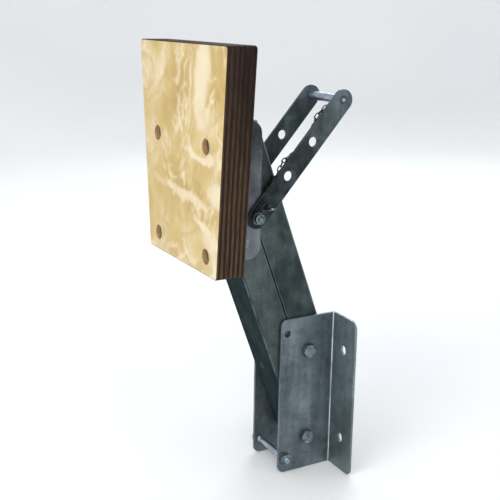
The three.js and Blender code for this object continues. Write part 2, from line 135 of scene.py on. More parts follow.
# ---------- camera, lights and floor ----------
def camera():
    """The photograph's view: the heading is from +Y towards +X, then down, then a slight roll."""
    heading, down, roll = (math.radians(a) for a in (29.01, 14.75, 0.861))
    eye = Vector((-0.71886, -1.07228, 0.54021))
    data = bpy.data.cameras.new("camera")
    data.sensor_width = 36
    data.lens = 64.885
    obj = bpy.data.objects.new("camera", data)
    bpy.context.collection.objects.link(obj)
    turn = Matrix.Rotation(-heading, 4, "Z") @ Matrix.Rotation(math.pi / 2 - down, 4, "X")
    obj.matrix_world = Matrix.Translation(eye) @ turn @ Matrix.Rotation(roll, 4, "Z")
    bpy.context.scene.camera = obj


def softbox(name, place, target, size, watts, colour=(1, 1, 1)):
    data = bpy.data.lights.new(name, "AREA")
    data.shape = "RECTANGLE"
    data.size, data.size_y = size
    data.energy = watts
    data.color = colour
    obj = bpy.data.objects.new(name, data)
    bpy.context.collection.objects.link(obj)
    obj.location = place
    obj.rotation_euler = (Vector(target) - Vector(place)).to_track_quat("-Z", "Y").to_euler()


def studio():
    """A pale floor that sweeps up behind the object, and soft light all round."""
    world = bpy.data.worlds.new("studio")
    world.use_nodes = True
    background = world.node_tree.nodes["Background"]
    background.inputs["Color"].default_value = (0.93, 0.96, 1.0, 1)
    background.inputs["Strength"].default_value = 0.88
    bpy.context.scene.world = world
    bpy.context.scene.view_settings.view_transform = "Standard"

    middle = Vector((-0.1, 0.0, 0.2))
    softbox("key", (-2.6, -1.0, 2.3), middle, (1.6, 1.6), 44, (1, 0.985, 0.96))
    softbox("front", (-0.9, -2.3, 0.5), middle, (0.7, 1.4), 16)
    softbox("rim", (1.6, 2.0, 2.0), middle, (1.4, 1.4), 30, (0.95, 0.98, 1))
    floor()


FLOOR_REACH = 3.2  # from the middle to where the floor starts to rise
FLOOR_SWEEP = 1.6  # radius of the rise
FLOOR_TOP = 4.0


def floor():
    """A round floor whose rim sweeps up into a wall, so that no horizon shows."""
    level = cad_box[0].z - 0.0006
    profile = [(0.0, level), (FLOOR_REACH, level)]
    for k in range(1, 13):
        turn = k / 12 * math.pi / 2
        out = FLOOR_REACH + FLOOR_SWEEP * math.sin(turn)
        profile.append((out, level + FLOOR_SWEEP * (1 - math.cos(turn))))
    profile.append((FLOOR_REACH + FLOOR_SWEEP, FLOOR_TOP))
    bm = bmesh.new()
    rings = []
    for reach, height in profile[1:]:
        ring = [spot(reach, TURN * k / 64, height) for k in range(64)]
        rings.append([bm.verts.new((p.x, p.z, p.y)) for p in ring])
    bm.faces.new(rings[0])
    for low, high in zip(rings, rings[1:]):
        bridge(bm, low, high)
    bmesh.ops.recalc_face_normals(bm, faces=bm.faces)
    bmesh.ops.reverse_faces(bm, faces=bm.faces)
    mesh = bpy.data.meshes.new("floor")
    bm.to_mesh(mesh)
    bm.free()
    mesh.shade_smooth()
    mesh.materials.append(floor_paint())
    obj = bpy.data.objects.new("floor", mesh)
    bpy.context.collection.objects.link(obj)


# ---------- mesh kit ----------
TURN = 2 * math.pi
AROUND = 36  # sides of a round, a multiple of 12 so that it fits a hexagon
ARC_STEP = math.radians(10)
FOLD_STEPS = 7
WELD = 2e-4


def spot(radius, angle, height):
    """A point round the +Y axis."""
    return Vector((radius * math.cos(angle), height, radius * math.sin(angle)))


def bridge(bm, low, high, material=0):
    """A band of faces between two closed rings of the same count."""
    count = len(low)
    for i in range(count):
        j = (i + 1) % count
        face = bm.faces.new((low[i], low[j], high[j], high[i]))
        face.material_index = material


def rounded(corners):
    """A closed line through corners (x, y, radius), counterclockwise round the material."""
    line = []
    for i, (x, y, radius) in enumerate(corners):
        here = Vector((x, y))
        if not radius:
            line.append(here)
            continue
        back = (Vector(corners[i - 1][:2]) - here).normalized()
        ahead = (Vector(corners[(i + 1) % len(corners)][:2]) - here).normalized()
        half = back.angle(ahead) / 2
        centre = here + (back + ahead).normalized() * (radius / math.sin(half))
        start = here + back * (radius / math.tan(half)) - centre
        left = back.y * ahead.x - back.x * ahead.y > 0
        sweep = (math.pi - 2 * half) * (1 if left else -1)
        steps = max(2, math.ceil(abs(sweep) / ARC_STEP))
        for k in range(steps + 1):
            a = sweep * k / steps
            turned = (
                start.x * math.cos(a) - start.y * math.sin(a),
                start.x * math.sin(a) + start.y * math.cos(a),
            )
            line.append(centre + Vector(turned))
    return line


def hole(x, y, radius, extra=0):
    """A clockwise round hole, stretched by extra along y into a slot."""
    line = []
    for k in range(AROUND):
        a = -TURN * (k + 0.5) / AROUND
        stretch = math.copysign(extra / 2, math.sin(a))
        line.append(Vector((x + radius * math.cos(a), y + radius * math.sin(a) + stretch)))
    return line


def shifted(line, inset):
    """The closed line moved to its left, which is into the material."""
    moved = []
    for i, here in enumerate(line):
        before = (here - line[i - 1]).normalized()
        after = (line[(i + 1) % len(line)] - here).normalized()
        normal = Vector((-before.y, before.x))
        other = Vector((-after.y, after.x))
        middle = (normal + other).normalized()
        moved.append(here + middle * (inset / max(middle.dot(normal), 0.4)))
    return moved


def edge_levels(thick, burr=BURR, band=0.9):
    """The levels (inset, height, wear and highlight) of a plate's wall, rounded at both faces; the third value
    marks the rounded edge for wear and a painted highlight.
    """
    turn = burr * (1 - math.sqrt(0.5))
    start = [(burr + band, 0, 0), (burr, 0, 0.8), (turn, turn, 1), (0, burr, 0.8)]
    end = [(inset, thick - height, wear_and_highlight) for inset, height, wear_and_highlight in reversed(start)]
    return start + [(0, thick / 2, 0.35)] + end


def slab(outlines, materials=(0, 0, 0)):
    """A plate in X and Y that rises along Z. Each outline is (closed line, levels), the first one round
    the plate and the rest round its holes; materials are those of the low face, walls and high face."""
    bm = bmesh.new()
    wear_and_highlight = bm.verts.layers.float.new("wear_and_highlight")
    low_rings, high_rings = [], []
    for line, levels in outlines:
        rings = []
        for inset, height, worn_and_highlit in levels:
            ring = [bm.verts.new((p.x, p.y, height)) for p in shifted(line, inset)]
            # The level's third value: wear and a painted edge highlight.
            for v in ring:
                v[wear_and_highlight] = worn_and_highlit
            rings.append(ring)
        for low, high in zip(rings, rings[1:]):
            bridge(bm, low, high, materials[1])
        low_rings.append(rings[0])
        high_rings.append(rings[-1])
    for rings, material in ((low_rings, materials[0]), (high_rings, materials[2])):
        flat = [[Vector((v.co.x, v.co.y, 0)) for v in ring] for ring in rings]
        verts = [v for ring in rings for v in ring]
        for corners in tessellate_polygon(flat):
            face = bm.faces.new([verts[i] for i in corners])
            face.material_index = material
    return bm


ARC_RADIUS = BEND + PLATE / 2
ARC = ARC_RADIUS * math.pi / 2


def along_fold(s, n, bends):
    """Where a point at s along a sheet and n off its middle lies, once each bend has turned it left."""
    place = Vector((0, 0))
    heading = 0.0
    reached = 0.0
    for start in bends:
        straight = min(s, start) - reached
        place += Vector((math.cos(heading), math.sin(heading))) * straight
        reached = start
        if s <= start:
            break
        turn = min((s - start) / ARC, 1) * math.pi / 2
        side = Vector((-math.sin(heading), math.cos(heading)))
        centre = place + side * ARC_RADIUS
        heading += turn
        place = centre - Vector((-math.sin(heading), math.cos(heading))) * ARC_RADIUS
        reached = start + ARC
        if s <= reached:
            break
    else:
        place += Vector((math.cos(heading), math.sin(heading))) * (s - reached)
    return place + Vector((-math.sin(heading), math.cos(heading))) * n


def fold(bm, bends, where, fold_highlight=0, ridge=0):
    """Folds a flat blank: x runs along the sheet, y stays, z is its thickness. where(u, v, y) places
    a point from the folded section's u and v and from y. The fourth and fifth arguments are the painted
    highlight inside the folds and the wear and painted highlight outside them."""
    for start in bends:
        for k in range(FOLD_STEPS + 1):
            parts = bm.verts[:] + bm.edges[:] + bm.faces[:]
            cut = (start + ARC * k / FOLD_STEPS, 0, 0)
            bmesh.ops.bisect_plane(bm, geom=parts, dist=1e-4, plane_co=cut, plane_no=(1, 0, 0))
    wear_and_highlight = bm.verts.layers.float["wear_and_highlight"]
    for v in bm.verts:
        # Inside a fold the mark is a painted highlight; outside it, wear and a painted highlight.
        if any(0.3 < (v.co.x - start) / ARC < 0.7 for start in bends):
            rubbed_and_highlit = fold_highlight if v.co.z > PLATE / 2 else ridge
            v[wear_and_highlight] = max(v[wear_and_highlight], rubbed_and_highlit)
        section = along_fold(v.co.x, v.co.z - PLATE / 2, bends)
        v.co = where(section.x, section.y, v.co.y)
    return bm


def loft(bm, rings, material=0, closed=False):
    """A skin over rings of points; the ends close on their middle unless the last meets the first."""
    made = [[bm.verts.new(p) for p in ring] for ring in rings]
    for low, high in zip(made, made[1:]):
        bridge(bm, low, high, material)
    if closed:
        bridge(bm, made[-1], made[0], material)
        return
    for ring in (made[0], made[-1]):
        tip = bm.verts.new(sum((v.co for v in ring), Vector()) / len(ring))
        for i, v in enumerate(ring):
            bm.faces.new((v, ring[(i + 1) % len(ring)], tip)).material_index = material


def circle(radius, height):
    return [spot(radius, TURN * k / AROUND, height) for k in range(AROUND)]


def hexagon(af, height, slope=0.0, inner=0.0):
    """A hexagon round +Y with softened corners; slope lowers it where it stands out past inner."""
    ring = []
    for k in range(AROUND):
        angle = TURN * k / AROUND
        off = (angle + math.pi / 6) % (math.pi / 3) - math.pi / 6
        radius = min(af / 2 / math.cos(off), af / math.sqrt(3) - 0.25)
        ring.append(spot(radius, angle, height - slope * (radius - inner)))
    return ring


def hex_top(af, height):
    """The rings of a hexagon's chamfered end, from its flats to its flat top."""
    inner = af / 2 * 0.93
    slope = math.tan(math.radians(28))
    return [
        hexagon(af, height, slope, inner),
        circle(inner, height),
        circle(inner - 0.5, height + 0.12),
    ]


def thread_rings(radius, pitch, start, end):
    """Rings of a screw thread round +Y. They are closed, so the helix is drawn as its crests' swell:
    each ring leans by one pitch round the axis, and the ends run out at the root."""
    root = radius - 0.55 * pitch
    rows = 4
    rings = []
    for row in range(math.ceil((end - start) / pitch + 2) * rows + 1):
        ring = []
        for k in range(AROUND):
            height = start + pitch * (row / rows + k / AROUND - 1)
            phase = row % rows
            crest = (root, (root + radius) / 2, radius, (root + radius) / 2)[phase]
            inside = start < height < end
            ring.append(spot(crest if inside else root, TURN * k / AROUND, min(max(height, start), end)))
        rings.append(ring)
    return rings


def threaded(bm, radius, pitch, start, end):
    """A skin over a screw thread: each row joins the row one pitch on where it comes round."""
    rows = 4
    rings = [[bm.verts.new(p) for p in ring] for ring in thread_rings(radius, pitch, start, end)]
    for row in range(len(rings) - rows - 1):
        for k in range(AROUND):
            if k + 1 < AROUND:
                near, far = rings[row][k + 1], rings[row + 1][k + 1]
            else:
                near, far = rings[row + rows][0], rings[row + 1 + rows][0]
            corners = (rings[row][k], near, far, rings[row + 1][k])
            bm.faces.new(corners)
    return radius - 0.55 * pitch


def made(name, bm, materials, node=None, matrix=None, body=None, slot=None, sharp=32):
    """Turns a mesh in millimetres into a named piece that stands for a CAD node."""
    bmesh.ops.remove_doubles(bm, verts=bm.verts, dist=WELD)
    bmesh.ops.dissolve_degenerate(bm, edges=bm.edges, dist=WELD / 2)
    if matrix:
        bm.transform(matrix)
    bm.transform(Matrix.Scale(MM, 4))
    bmesh.ops.recalc_face_normals(bm, faces=bm.faces)
    if bm.calc_volume(signed=True) < 0:
        bmesh.ops.reverse_faces(bm, faces=bm.faces)
    mesh = bpy.data.meshes.new(name)
    bm.to_mesh(mesh)
    bm.free()
    mesh.shade_smooth()
    mesh.set_sharp_from_angle(angle=math.radians(sharp))
    for material in materials:
        mesh.materials.append(material)
    obj = bpy.data.objects.new(name, mesh)
    bpy.context.collection.objects.link(obj)
    even = obj.modifiers.new("even_shading", "WEIGHTED_NORMAL")
    even.keep_sharp = True
    if node:
        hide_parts(node)
    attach(obj, body or body_of(node))
    return obj


def pointing(place, direction):
    """A matrix that takes +Y at the origin to a direction at a place."""
    turn = Vector((0, 1, 0)).rotation_difference(direction).to_matrix().to_4x4()
    return Matrix.Translation(place) @ turn


# ---------- material kit ----------
class Paint:
    """A material and short calls for the nodes that feed it."""

    def __init__(self, name):
        self.material = bpy.data.materials.new(name)
        self.material.use_nodes = True
        self.tree = self.material.node_tree
        self.shader = self.tree.nodes["Principled BSDF"]
        self.place = self.add("ShaderNodeTexCoord").outputs["Object"]

    def add(self, kind, **settings):
        node = self.tree.nodes.new(kind)
        for key, value in settings.items():
            setattr(node, key, value)
        return node

    def feed(self, socket, value):
        if hasattr(value, "is_output"):
            self.tree.links.new(value, socket)
        else:
            socket.default_value = value

    def stretched(self, x, y, z):
        node = self.add("ShaderNodeMapping")
        self.feed(node.inputs["Vector"], self.place)
        node.inputs["Scale"].default_value = (x, y, z)
        return node.outputs["Vector"]

    def noise(self, scale, detail=4, roughness=0.55, distortion=0.0, place=None):
        node = self.add("ShaderNodeTexNoise")
        self.feed(node.inputs["Vector"], place or self.place)
        node.inputs["Scale"].default_value = scale
        node.inputs["Detail"].default_value = detail
        node.inputs["Roughness"].default_value = roughness
        node.inputs["Distortion"].default_value = distortion
        return node.outputs["Fac"]

    def cells(self, scale, place=None):
        node = self.add("ShaderNodeTexVoronoi")
        self.feed(node.inputs["Vector"], place or self.place)
        node.inputs["Scale"].default_value = scale
        return self.split(node.outputs["Color"])[0]

    def split(self, vector):
        node = self.add("ShaderNodeSeparateXYZ")
        self.feed(node.inputs[0], vector)
        return node.outputs

    def math(self, operation, a, b=0.0, c=0.0, clamp=False):
        node = self.add("ShaderNodeMath", operation=operation, use_clamp=clamp)
        for socket, value in zip(node.inputs, (a, b, c)):
            self.feed(socket, value)
        return node.outputs[0]

    def fade(self, value, low, high, start=0.0, end=1.0):
        """value from low to high, turned smoothly into start to end."""
        node = self.add("ShaderNodeMapRange", interpolation_type="SMOOTHSTEP")
        self.feed(node.inputs["Value"], value)
        for key, number in zip(("From Min", "From Max", "To Min", "To Max"), (low, high, start, end)):
            node.inputs[key].default_value = number
        return node.outputs[0]

    def ramp(self, value, stops):
        node = self.add("ShaderNodeValToRGB")
        self.feed(node.inputs["Fac"], value)
        elements = node.color_ramp.elements
        for place, colour in stops[2:]:
            elements.new(place)
        for element, (place, colour) in zip(elements, stops):
            element.position = place
            element.color = (*linear(colour), 1)
        return node.outputs["Color"]

    def mix(self, share, a, b, blend="MIX"):
        node = self.add("ShaderNodeMix", data_type="RGBA", blend_type=blend)
        self.feed(node.inputs["Factor"], share)
        for socket, value in ((node.inputs["A"], a), (node.inputs["B"], b)):
            self.feed(socket, value if hasattr(value, "is_output") else (*linear(value), 1))
        return node.outputs["Result"]

    def attribute(self, name):
        return self.add("ShaderNodeAttribute", attribute_name=name).outputs["Fac"]

    def bump(self, height, strength, distance, under=None):
        node = self.add("ShaderNodeBump")
        self.feed(node.inputs["Height"], height)
        node.inputs["Strength"].default_value = strength
        node.inputs["Distance"].default_value = distance
        if under:
            self.feed(node.inputs["Normal"], under)
        return node.outputs["Normal"]

    def finish(self, colour, roughness, normal=None, metallic=0.0, **fixed):
        self.feed(self.shader.inputs["Base Color"], colour)
        self.feed(self.shader.inputs["Roughness"], roughness)
        self.shader.inputs["Metallic"].default_value = metallic
        if normal:
            self.feed(self.shader.inputs["Normal"], normal)
        for key, value in fixed.items():
            self.shader.inputs[key.replace("_", " ")].default_value = value
        return self.material


def linear(colour):
    """A colour in the usual 0 to 255 turned into the shader's linear numbers."""
    shares = [c / 255 for c in colour]
    return [s / 12.92 if s <= 0.04045 else ((s + 0.055) / 1.055) ** 2.4 for s in shares]


# ---------- materials ----------
def floor_paint():
    paint = Paint("floor_paint")
    tone = paint.noise(0.8, 2)
    colour = paint.ramp(tone, [(0.3, (236, 237, 238)), (0.7, (243, 243, 242))])
    return paint.finish(colour, 0.85)


# The colour of worn edges, also used as a painted edge highlight.
RUBBED_AND_HIGHLIT = (120, 130, 136)


def galvanised(name, tones, spots=0.4, frost=0.45, edge=RUBBED_AND_HIGHLIT, dark_by_height=None, dull=False):
    """Hot-dip zinc: cloudy patches, runs down the plate, faint spangle, white bloom, dark specks, edges
    mixed towards the edge colour as wear and as a painted highlight, and a painted highlight inside tight
    folds. tones are its dark, middle and pale greys; spots and frost are the shares of specks and bloom;
    the darkening by height is (height, height, share): it grows from the first height to the second, and
    is painted shade on the bars and pad angles. A dull plate hardly mirrors."""
    paint = Paint(name)
    cloud = paint.noise(13, 5, 0.55, 0.4)
    runs = paint.noise(1, 4, 0.6, 0.3, paint.stretched(60, 60, 9))
    spangle = paint.cells(95)
    tone = paint.math("MULTIPLY", cloud, 0.58)
    tone = paint.math("MULTIPLY_ADD", runs, 0.34, tone)
    tone = paint.math("MULTIPLY_ADD", spangle, 0.06, tone)
    colour = paint.ramp(tone, list(zip((0.34, 0.49, 0.66), tones)))
    bloom = paint.fade(paint.noise(130, 5, 0.7), 0.6, 0.74)
    bloom = paint.math("MULTIPLY", bloom, paint.fade(paint.noise(26, 3), 0.45, 0.62, 0, frost))
    colour = paint.mix(bloom, colour, (150, 158, 162))
    specks = paint.fade(paint.noise(190, 3, 0.6), 0.60, 0.70, 0, spots)
    colour = paint.mix(specks, colour, (32, 38, 41))
    # Darkening by height: painted shade on the bars' lower ends and the pad angles' tops; on the flanges it only
    # darkens towards the bottom.
    if dark_by_height:
        start, end, share = dark_by_height
        film = paint.fade(paint.split(paint.place)[2], min(start, end), max(start, end))
        if start > end:
            film = paint.math("SUBTRACT", 1, film)
        uneven = paint.fade(paint.noise(34, 5, 0.6), 0.3, 0.6, share * 0.6, share)
        film = paint.math("MULTIPLY", film, uneven)
        colour = paint.mix(film, colour, (12, 16, 16))
    # Edges and the outsides of folds are mixed towards the edge colour: worn metal and a painted edge highlight.
    worn_and_highlit = paint.attribute("wear_and_highlight")
    patchy = paint.fade(paint.noise(60, 4), 0.32, 0.6, 0.1, 0.6)
    bare_and_highlit = paint.math("MULTIPLY", paint.fade(worn_and_highlit, 0, 1), patchy)
    colour = paint.mix(bare_and_highlit, colour, edge)
    # A painted highlight: the insides of tight folds are lightened to near white.
    broken = paint.fade(paint.noise(30, 4), 0.36, 0.56, 0.35, 1)
    fold_highlight = paint.math("MULTIPLY", paint.fade(worn_and_highlit, 1.2, 2.0), broken)
    colour = paint.mix(fold_highlight, colour, (226, 232, 236))
    rough = paint.fade(tone, 0.3, 0.7, 0.5, 0.36)
    fine = paint.bump(paint.noise(420, 3), 0.1, 0.0004)
    normal = paint.bump(paint.noise(48, 4, 0.5, 0.4), 0.12, 0.0012, fine)
    if dull:
        tint = (0.35, 0.45, 0.47, 1)
        rough = paint.fade(tone, 0.3, 0.7, 0.9, 0.72)
        return paint.finish(colour, rough, normal, 0.2, Specular_IOR_Level=0.1, Specular_Tint=tint)
    return paint.finish(colour, rough, normal, 0.8, Specular_IOR_Level=0.3)


def zinc(name, dark, pale, rough=(0.42, 0.26), metallic=0.9):
    """Plated fasteners: a dull film in patches over bright metal."""
    paint = Paint(name)
    film = paint.noise(120, 5, 0.6, 0.4)
    spots = paint.noise(520, 3, 0.5)
    tone = paint.math("MULTIPLY_ADD", spots, 0.35, paint.math("MULTIPLY", film, 0.65))
    colour = paint.ramp(tone, [(0.32, dark), (0.66, pale)])
    roughness = paint.fade(tone, 0.35, 0.65, *rough)
    normal = paint.bump(spots, 0.1, 0.0003)
    return paint.finish(colour, roughness, normal, metallic)


# The face veneer's figure, in metres across (towards +Y) and up the pad from its middle.
KNOTS = [  # across, up, reach each way, and how many growth rings it adds
    (-0.012, 0.060, 0.013, 0.024, 1.6),
    (0.106, 0.096, 0.034, 0.044, -1.9),
    (0.040, 0.046, 0.034, 0.034, 1.4),
    (0.096, 0.004, 0.020, 0.036, 1.3),
    (0.066, -0.092, 0.030, 0.034, 1.5),
    (-0.030, -0.112, 0.044, 0.022, -1.3),
    (-0.100, 0.080, 0.030, 0.020, -1.4),
]
PALE_PATCHES = [  # across, up, reach each way, and strength
    (-0.062, 0.106, 0.024, 0.066, 0.95),
    (-0.082, 0.050, 0.044, 0.026, 0.55),
    (-0.097, -0.033, 0.019, 0.022, 0.95),
    (-0.086, -0.096, 0.030, 0.022, 0.5),
    (0.044, -0.078, 0.018, 0.040, 0.4),
    (0.030, 0.120, 0.030, 0.020, 0.4),
]
PALE_RIDGES = [  # across, up, slope, curvature, and reach across
    (-0.006, -0.054, 0.10, 0.5, 0.105),
    (-0.074, -0.086, 0.45, 0.0, 0.034),
    (-0.060, 0.006, 0.0, 5.0, 0.066),
]


def veneer(name, gold, tan, cream, pad_middle):
    """Rotary-cut softwood: soft pale early wood in patches and ridges over golden, ringed wood."""
    paint = Paint(name)
    x, y, z = paint.split(paint.place)
    sway_y = paint.noise(13, 4, 0.5)
    sway_z = paint.noise(1, 4, 0.5, 0, paint.stretched(17, 17, 17))
    across = paint.math("MULTIPLY_ADD", sway_y, 0.05, paint.math("SUBTRACT", y, pad_middle.y + 0.025))
    up = paint.math("MULTIPLY_ADD", sway_z, 0.05, paint.math("SUBTRACT", z, pad_middle.z + 0.025))

    def swell(place_y, place_z, wide, tall):
        """A round rise of 1 at a place, fading over its reach each way."""
        dy = paint.math("DIVIDE", paint.math("SUBTRACT", across, place_y), wide)
        dz = paint.math("DIVIDE", paint.math("SUBTRACT", up, place_z), tall)
        square = paint.math("ADD", paint.math("MULTIPLY", dy, dy), paint.math("MULTIPLY", dz, dz))
        return paint.math("EXPONENT", paint.math("MULTIPLY", square, -1))

    warp = paint.noise(1, 3, 0.5, 0.3, paint.stretched(2, 9, 5))
    rings = paint.math("MULTIPLY", warp, 5)
    for place_y, place_z, wide, tall, count in KNOTS:
        rings = paint.math("MULTIPLY_ADD", swell(place_y, place_z, wide, tall), count, rings)
    flow = paint.noise(1, 4, 0.6, 0.2, paint.stretched(2, 60, 17))
    rings = paint.math("MULTIPLY_ADD", flow, 0.5, rings)
    beat = paint.math("ABSOLUTE", paint.math("SUBTRACT", paint.math("FRACT", rings), 0.5))
    width = paint.noise(11, 2)
    ringed = paint.fade(paint.math("MULTIPLY_ADD", width, -0.34, beat), -0.20, 0.16, 1, 0)
    ringed = paint.math("MULTIPLY", ringed, paint.fade(paint.noise(15, 3), 0.38, 0.58, 0.12, 0.55))
    ringed = paint.math("MULTIPLY", ringed, paint.fade(across, 0.02, 0.10, 1, 0.55))

    pale = ringed
    for place_y, place_z, wide, tall, strength in PALE_PATCHES:
        patch = paint.math("MULTIPLY", swell(place_y, place_z, wide, tall), strength)
        pale = paint.math("MAXIMUM", pale, patch)
    for place_y, place_z, slope, curve, reach in PALE_RIDGES:
        run = paint.math("SUBTRACT", across, place_y)
        sag = paint.math("MULTIPLY", paint.math("MULTIPLY", run, run), curve)
        line = paint.math("MULTIPLY_ADD", run, slope, sag)
        off = paint.math("DIVIDE", paint.math("SUBTRACT", paint.math("SUBTRACT", up, place_z), line), 0.0085)
        ridge = paint.math("EXPONENT", paint.math("MULTIPLY", paint.math("MULTIPLY", off, off), -1))
        fall = paint.math("DIVIDE", run, reach)
        fall = paint.math("EXPONENT", paint.math("MULTIPLY", paint.math("MULTIPLY", fall, fall), -1))
        pale = paint.math("MAXIMUM", pale, paint.math("MULTIPLY", paint.math("MULTIPLY", ridge, fall), 0.76))

    shade = paint.noise(1, 4, 0.55, 0.3, paint.stretched(2, 12, 9))
    body = paint.ramp(shade, [(0.36, tan), (0.5, gold), (0.72, cream)])
    saw = paint.fade(paint.math("FRACT", rings), 0.3, 1.0)
    body = paint.mix(paint.math("MULTIPLY", saw, 0.42), body, tan)
    ragged = paint.noise(1, 5, 0.6, 0.4, paint.stretched(2, 44, 26))
    figured = paint.math("MULTIPLY_ADD", paint.math("SUBTRACT", ragged, 0.5), 1.3, pale)
    soft = paint.fade(pale, 0.1, 0.9, 0, 0.45)
    crisp = paint.fade(figured, 0.3, 0.56, 0, 0.45)
    colour = paint.mix(paint.math("ADD", soft, crisp), body, cream)
    golden = paint.fade(paint.math("MULTIPLY_ADD", up, -0.4, across), -0.04, 0.11, 0, 0.5)
    colour = paint.mix(golden, colour, (192, 162, 88))
    wander = paint.noise(1, 3, 0.45, 0.5, paint.stretched(2, 15, 17))
    wisp = paint.math("FRACT", paint.math("MULTIPLY", wander, 6))
    wisp = paint.fade(paint.math("ABSOLUTE", paint.math("SUBTRACT", wisp, 0.5)), 0.02, 0.26, 1, 0)
    wisp = paint.math("MULTIPLY", wisp, paint.fade(paint.noise(15, 3), 0.42, 0.6, 0.05, 0.58))
    colour = paint.mix(wisp, colour, cream)
    pores = paint.noise(1, 4, 0.65, 0, paint.stretched(40, 900, 60))
    colour = paint.mix(paint.fade(pores, 0.55, 0.75, 0, 0.2), colour, (160, 122, 74))
    rough = paint.fade(pale, 0, 1, 0.42, 0.52)
    fine = paint.bump(pores, 0.18, 0.0004)
    normal = paint.bump(pale, 0.08, 0.0006, fine)
    return paint.finish(colour, rough, normal, Coat_Weight=0.2, Coat_Roughness=0.25)


PLIES = 6  # in each of the pad's two boards


def ply_edge(name, low, thick, stained):
    """The layers of a board's edge, counted from its outboard face; stained is how dark they are."""
    paint = Paint(name)
    x, y, z = paint.split(paint.place)
    wander = paint.noise(1, 3, 0.5, 0, paint.stretched(30, 12, 9))
    depth = paint.math("DIVIDE", paint.math("SUBTRACT", x, low), thick / PLIES)
    depth = paint.math("ADD", depth, paint.fade(wander, 0.3, 0.7, -0.12, 0.12))
    layer = paint.math("FRACT", paint.math("MULTIPLY", depth, 0.5))
    cross = paint.fade(paint.math("ABSOLUTE", paint.math("SUBTRACT", layer, 0.5)), 0.21, 0.27)
    fibre = paint.noise(1, 5, 0.65, 0.2, paint.stretched(500, 60, 38))
    end = paint.ramp(fibre, [(0.3, stained[0]), (0.7, stained[1])])
    long = paint.ramp(fibre, [(0.3, stained[2]), (0.7, stained[3])])
    # Painted shade: towards the top of the edge the light cross-grain layers fade out.
    high = paint.fade(z, 0.30, 0.47)
    cross_share = paint.math("MULTIPLY", cross, paint.math("MULTIPLY_ADD", high, -0.68, 1))
    colour = paint.mix(cross_share, end, long)
    glue = paint.math("ABSOLUTE", paint.math("SUBTRACT", paint.math("FRACT", depth), 0.5))
    colour = paint.mix(paint.fade(glue, 0.42, 0.5, 0, 0.75), colour, (22, 15, 13))
    # Dark patches of dirt all over, and more of them towards the top as painted shade.
    dirt_and_shade = paint.fade(paint.noise(1, 4, 0.6, 0.3, paint.stretched(60, 20, 8)), 0.42, 0.62, 0, 0.6)
    dirt_and_shade = paint.math("MULTIPLY", dirt_and_shade, paint.math("MULTIPLY_ADD", high, 0.6, 0.3))
    colour = paint.mix(dirt_and_shade, colour, (18, 12, 11))
    lift = paint.math("MULTIPLY_ADD", cross, 0.5, fibre)
    normal = paint.bump(lift, 0.5, 0.0006)
    return paint.finish(colour, paint.fade(fibre, 0.3, 0.7, 0.8, 0.62), normal, Specular_IOR_Level=0.12)


def bore_wood():
    """The raw, greyed wood inside the pad's counterbores."""
    paint = Paint("bore_wood")
    fibre = paint.noise(1, 4, 0.6, 0, paint.stretched(500, 90, 120))
    colour = paint.ramp(fibre, [(0.3, (134, 104, 72)), (0.7, (196, 158, 110))])
    return paint.finish(colour, 0.75, paint.bump(fibre, 0.4, 0.0005))


PAD_MIDDLE = (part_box("pad_front_board")[0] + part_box("pad_front_board")[1]) / 2
STEEL = galvanised("galvanised_plate", [(76, 86, 91), (102, 113, 119), (136, 146, 152)])
# The flange legs' own lighter copy of the plate steel: painted light on that face. It also darkens towards the
# bottom.
FLANGE_STEEL = galvanised(
    "galvanised_flange",
    [(103, 117, 120), (136, 150, 154), (164, 176, 180)],
    edge=(70, 79, 83),
    dark_by_height=(0.10, -0.05, 0.4),
)
# Pad angles: darker towards their tops, a painted shade.
CHEEK_STEEL = galvanised(
    "galvanised_cheek",
    [(62, 66, 68), (91, 95, 100), (127, 131, 139)],
    dark_by_height=(0.325, 0.37, 0.72),
)
# The arms share one steel in two copies: the upper arm's darker tones are painted shade.
LOWER_ARM_STEEL = galvanised("galvanised_lower_arm", [(48, 57, 58), (68, 77, 78), (94, 102, 103)])
UPPER_ARM_SHADED_STEEL = galvanised("galvanised_upper_arm", [(36, 46, 47), (53, 63, 64), (82, 92, 92)])
# The lower arm's web faces outboard and down: its near-black tones are painted shade, its bright edges wear and a
# painted highlight.
SHADED_WEB_STEEL = galvanised(
    "galvanised_web",
    [(22, 35, 37), (32, 45, 47), (44, 57, 59)],
    spots=0.2,
    frost=0.05,
    edge=(110, 122, 126),
    dull=True,
)
# Handle bars: darkened towards their lower ends, a painted shadow.
BAR_STEEL = galvanised(
    "galvanised_bar",
    [(50, 58, 59), (68, 78, 80), (114, 126, 132)],
    spots=0.2,
    frost=0.25,
    edge=(92, 101, 106),
    dark_by_height=(0.46, 0.27, 0.97),
)
BOLT_ZINC = zinc("zinc_bolt", (62, 72, 78), (140, 152, 160))
ROD_ZINC = zinc("zinc_rod", (120, 134, 150), (178, 190, 204), (0.3, 0.2))
PEENED_ZINC = zinc("peened_zinc", (34, 41, 45), (92, 102, 110), (0.6, 0.4))
CHAIN_STEEL = zinc("dark_chain", (16, 19, 20), (66, 72, 76), (0.5, 0.3))


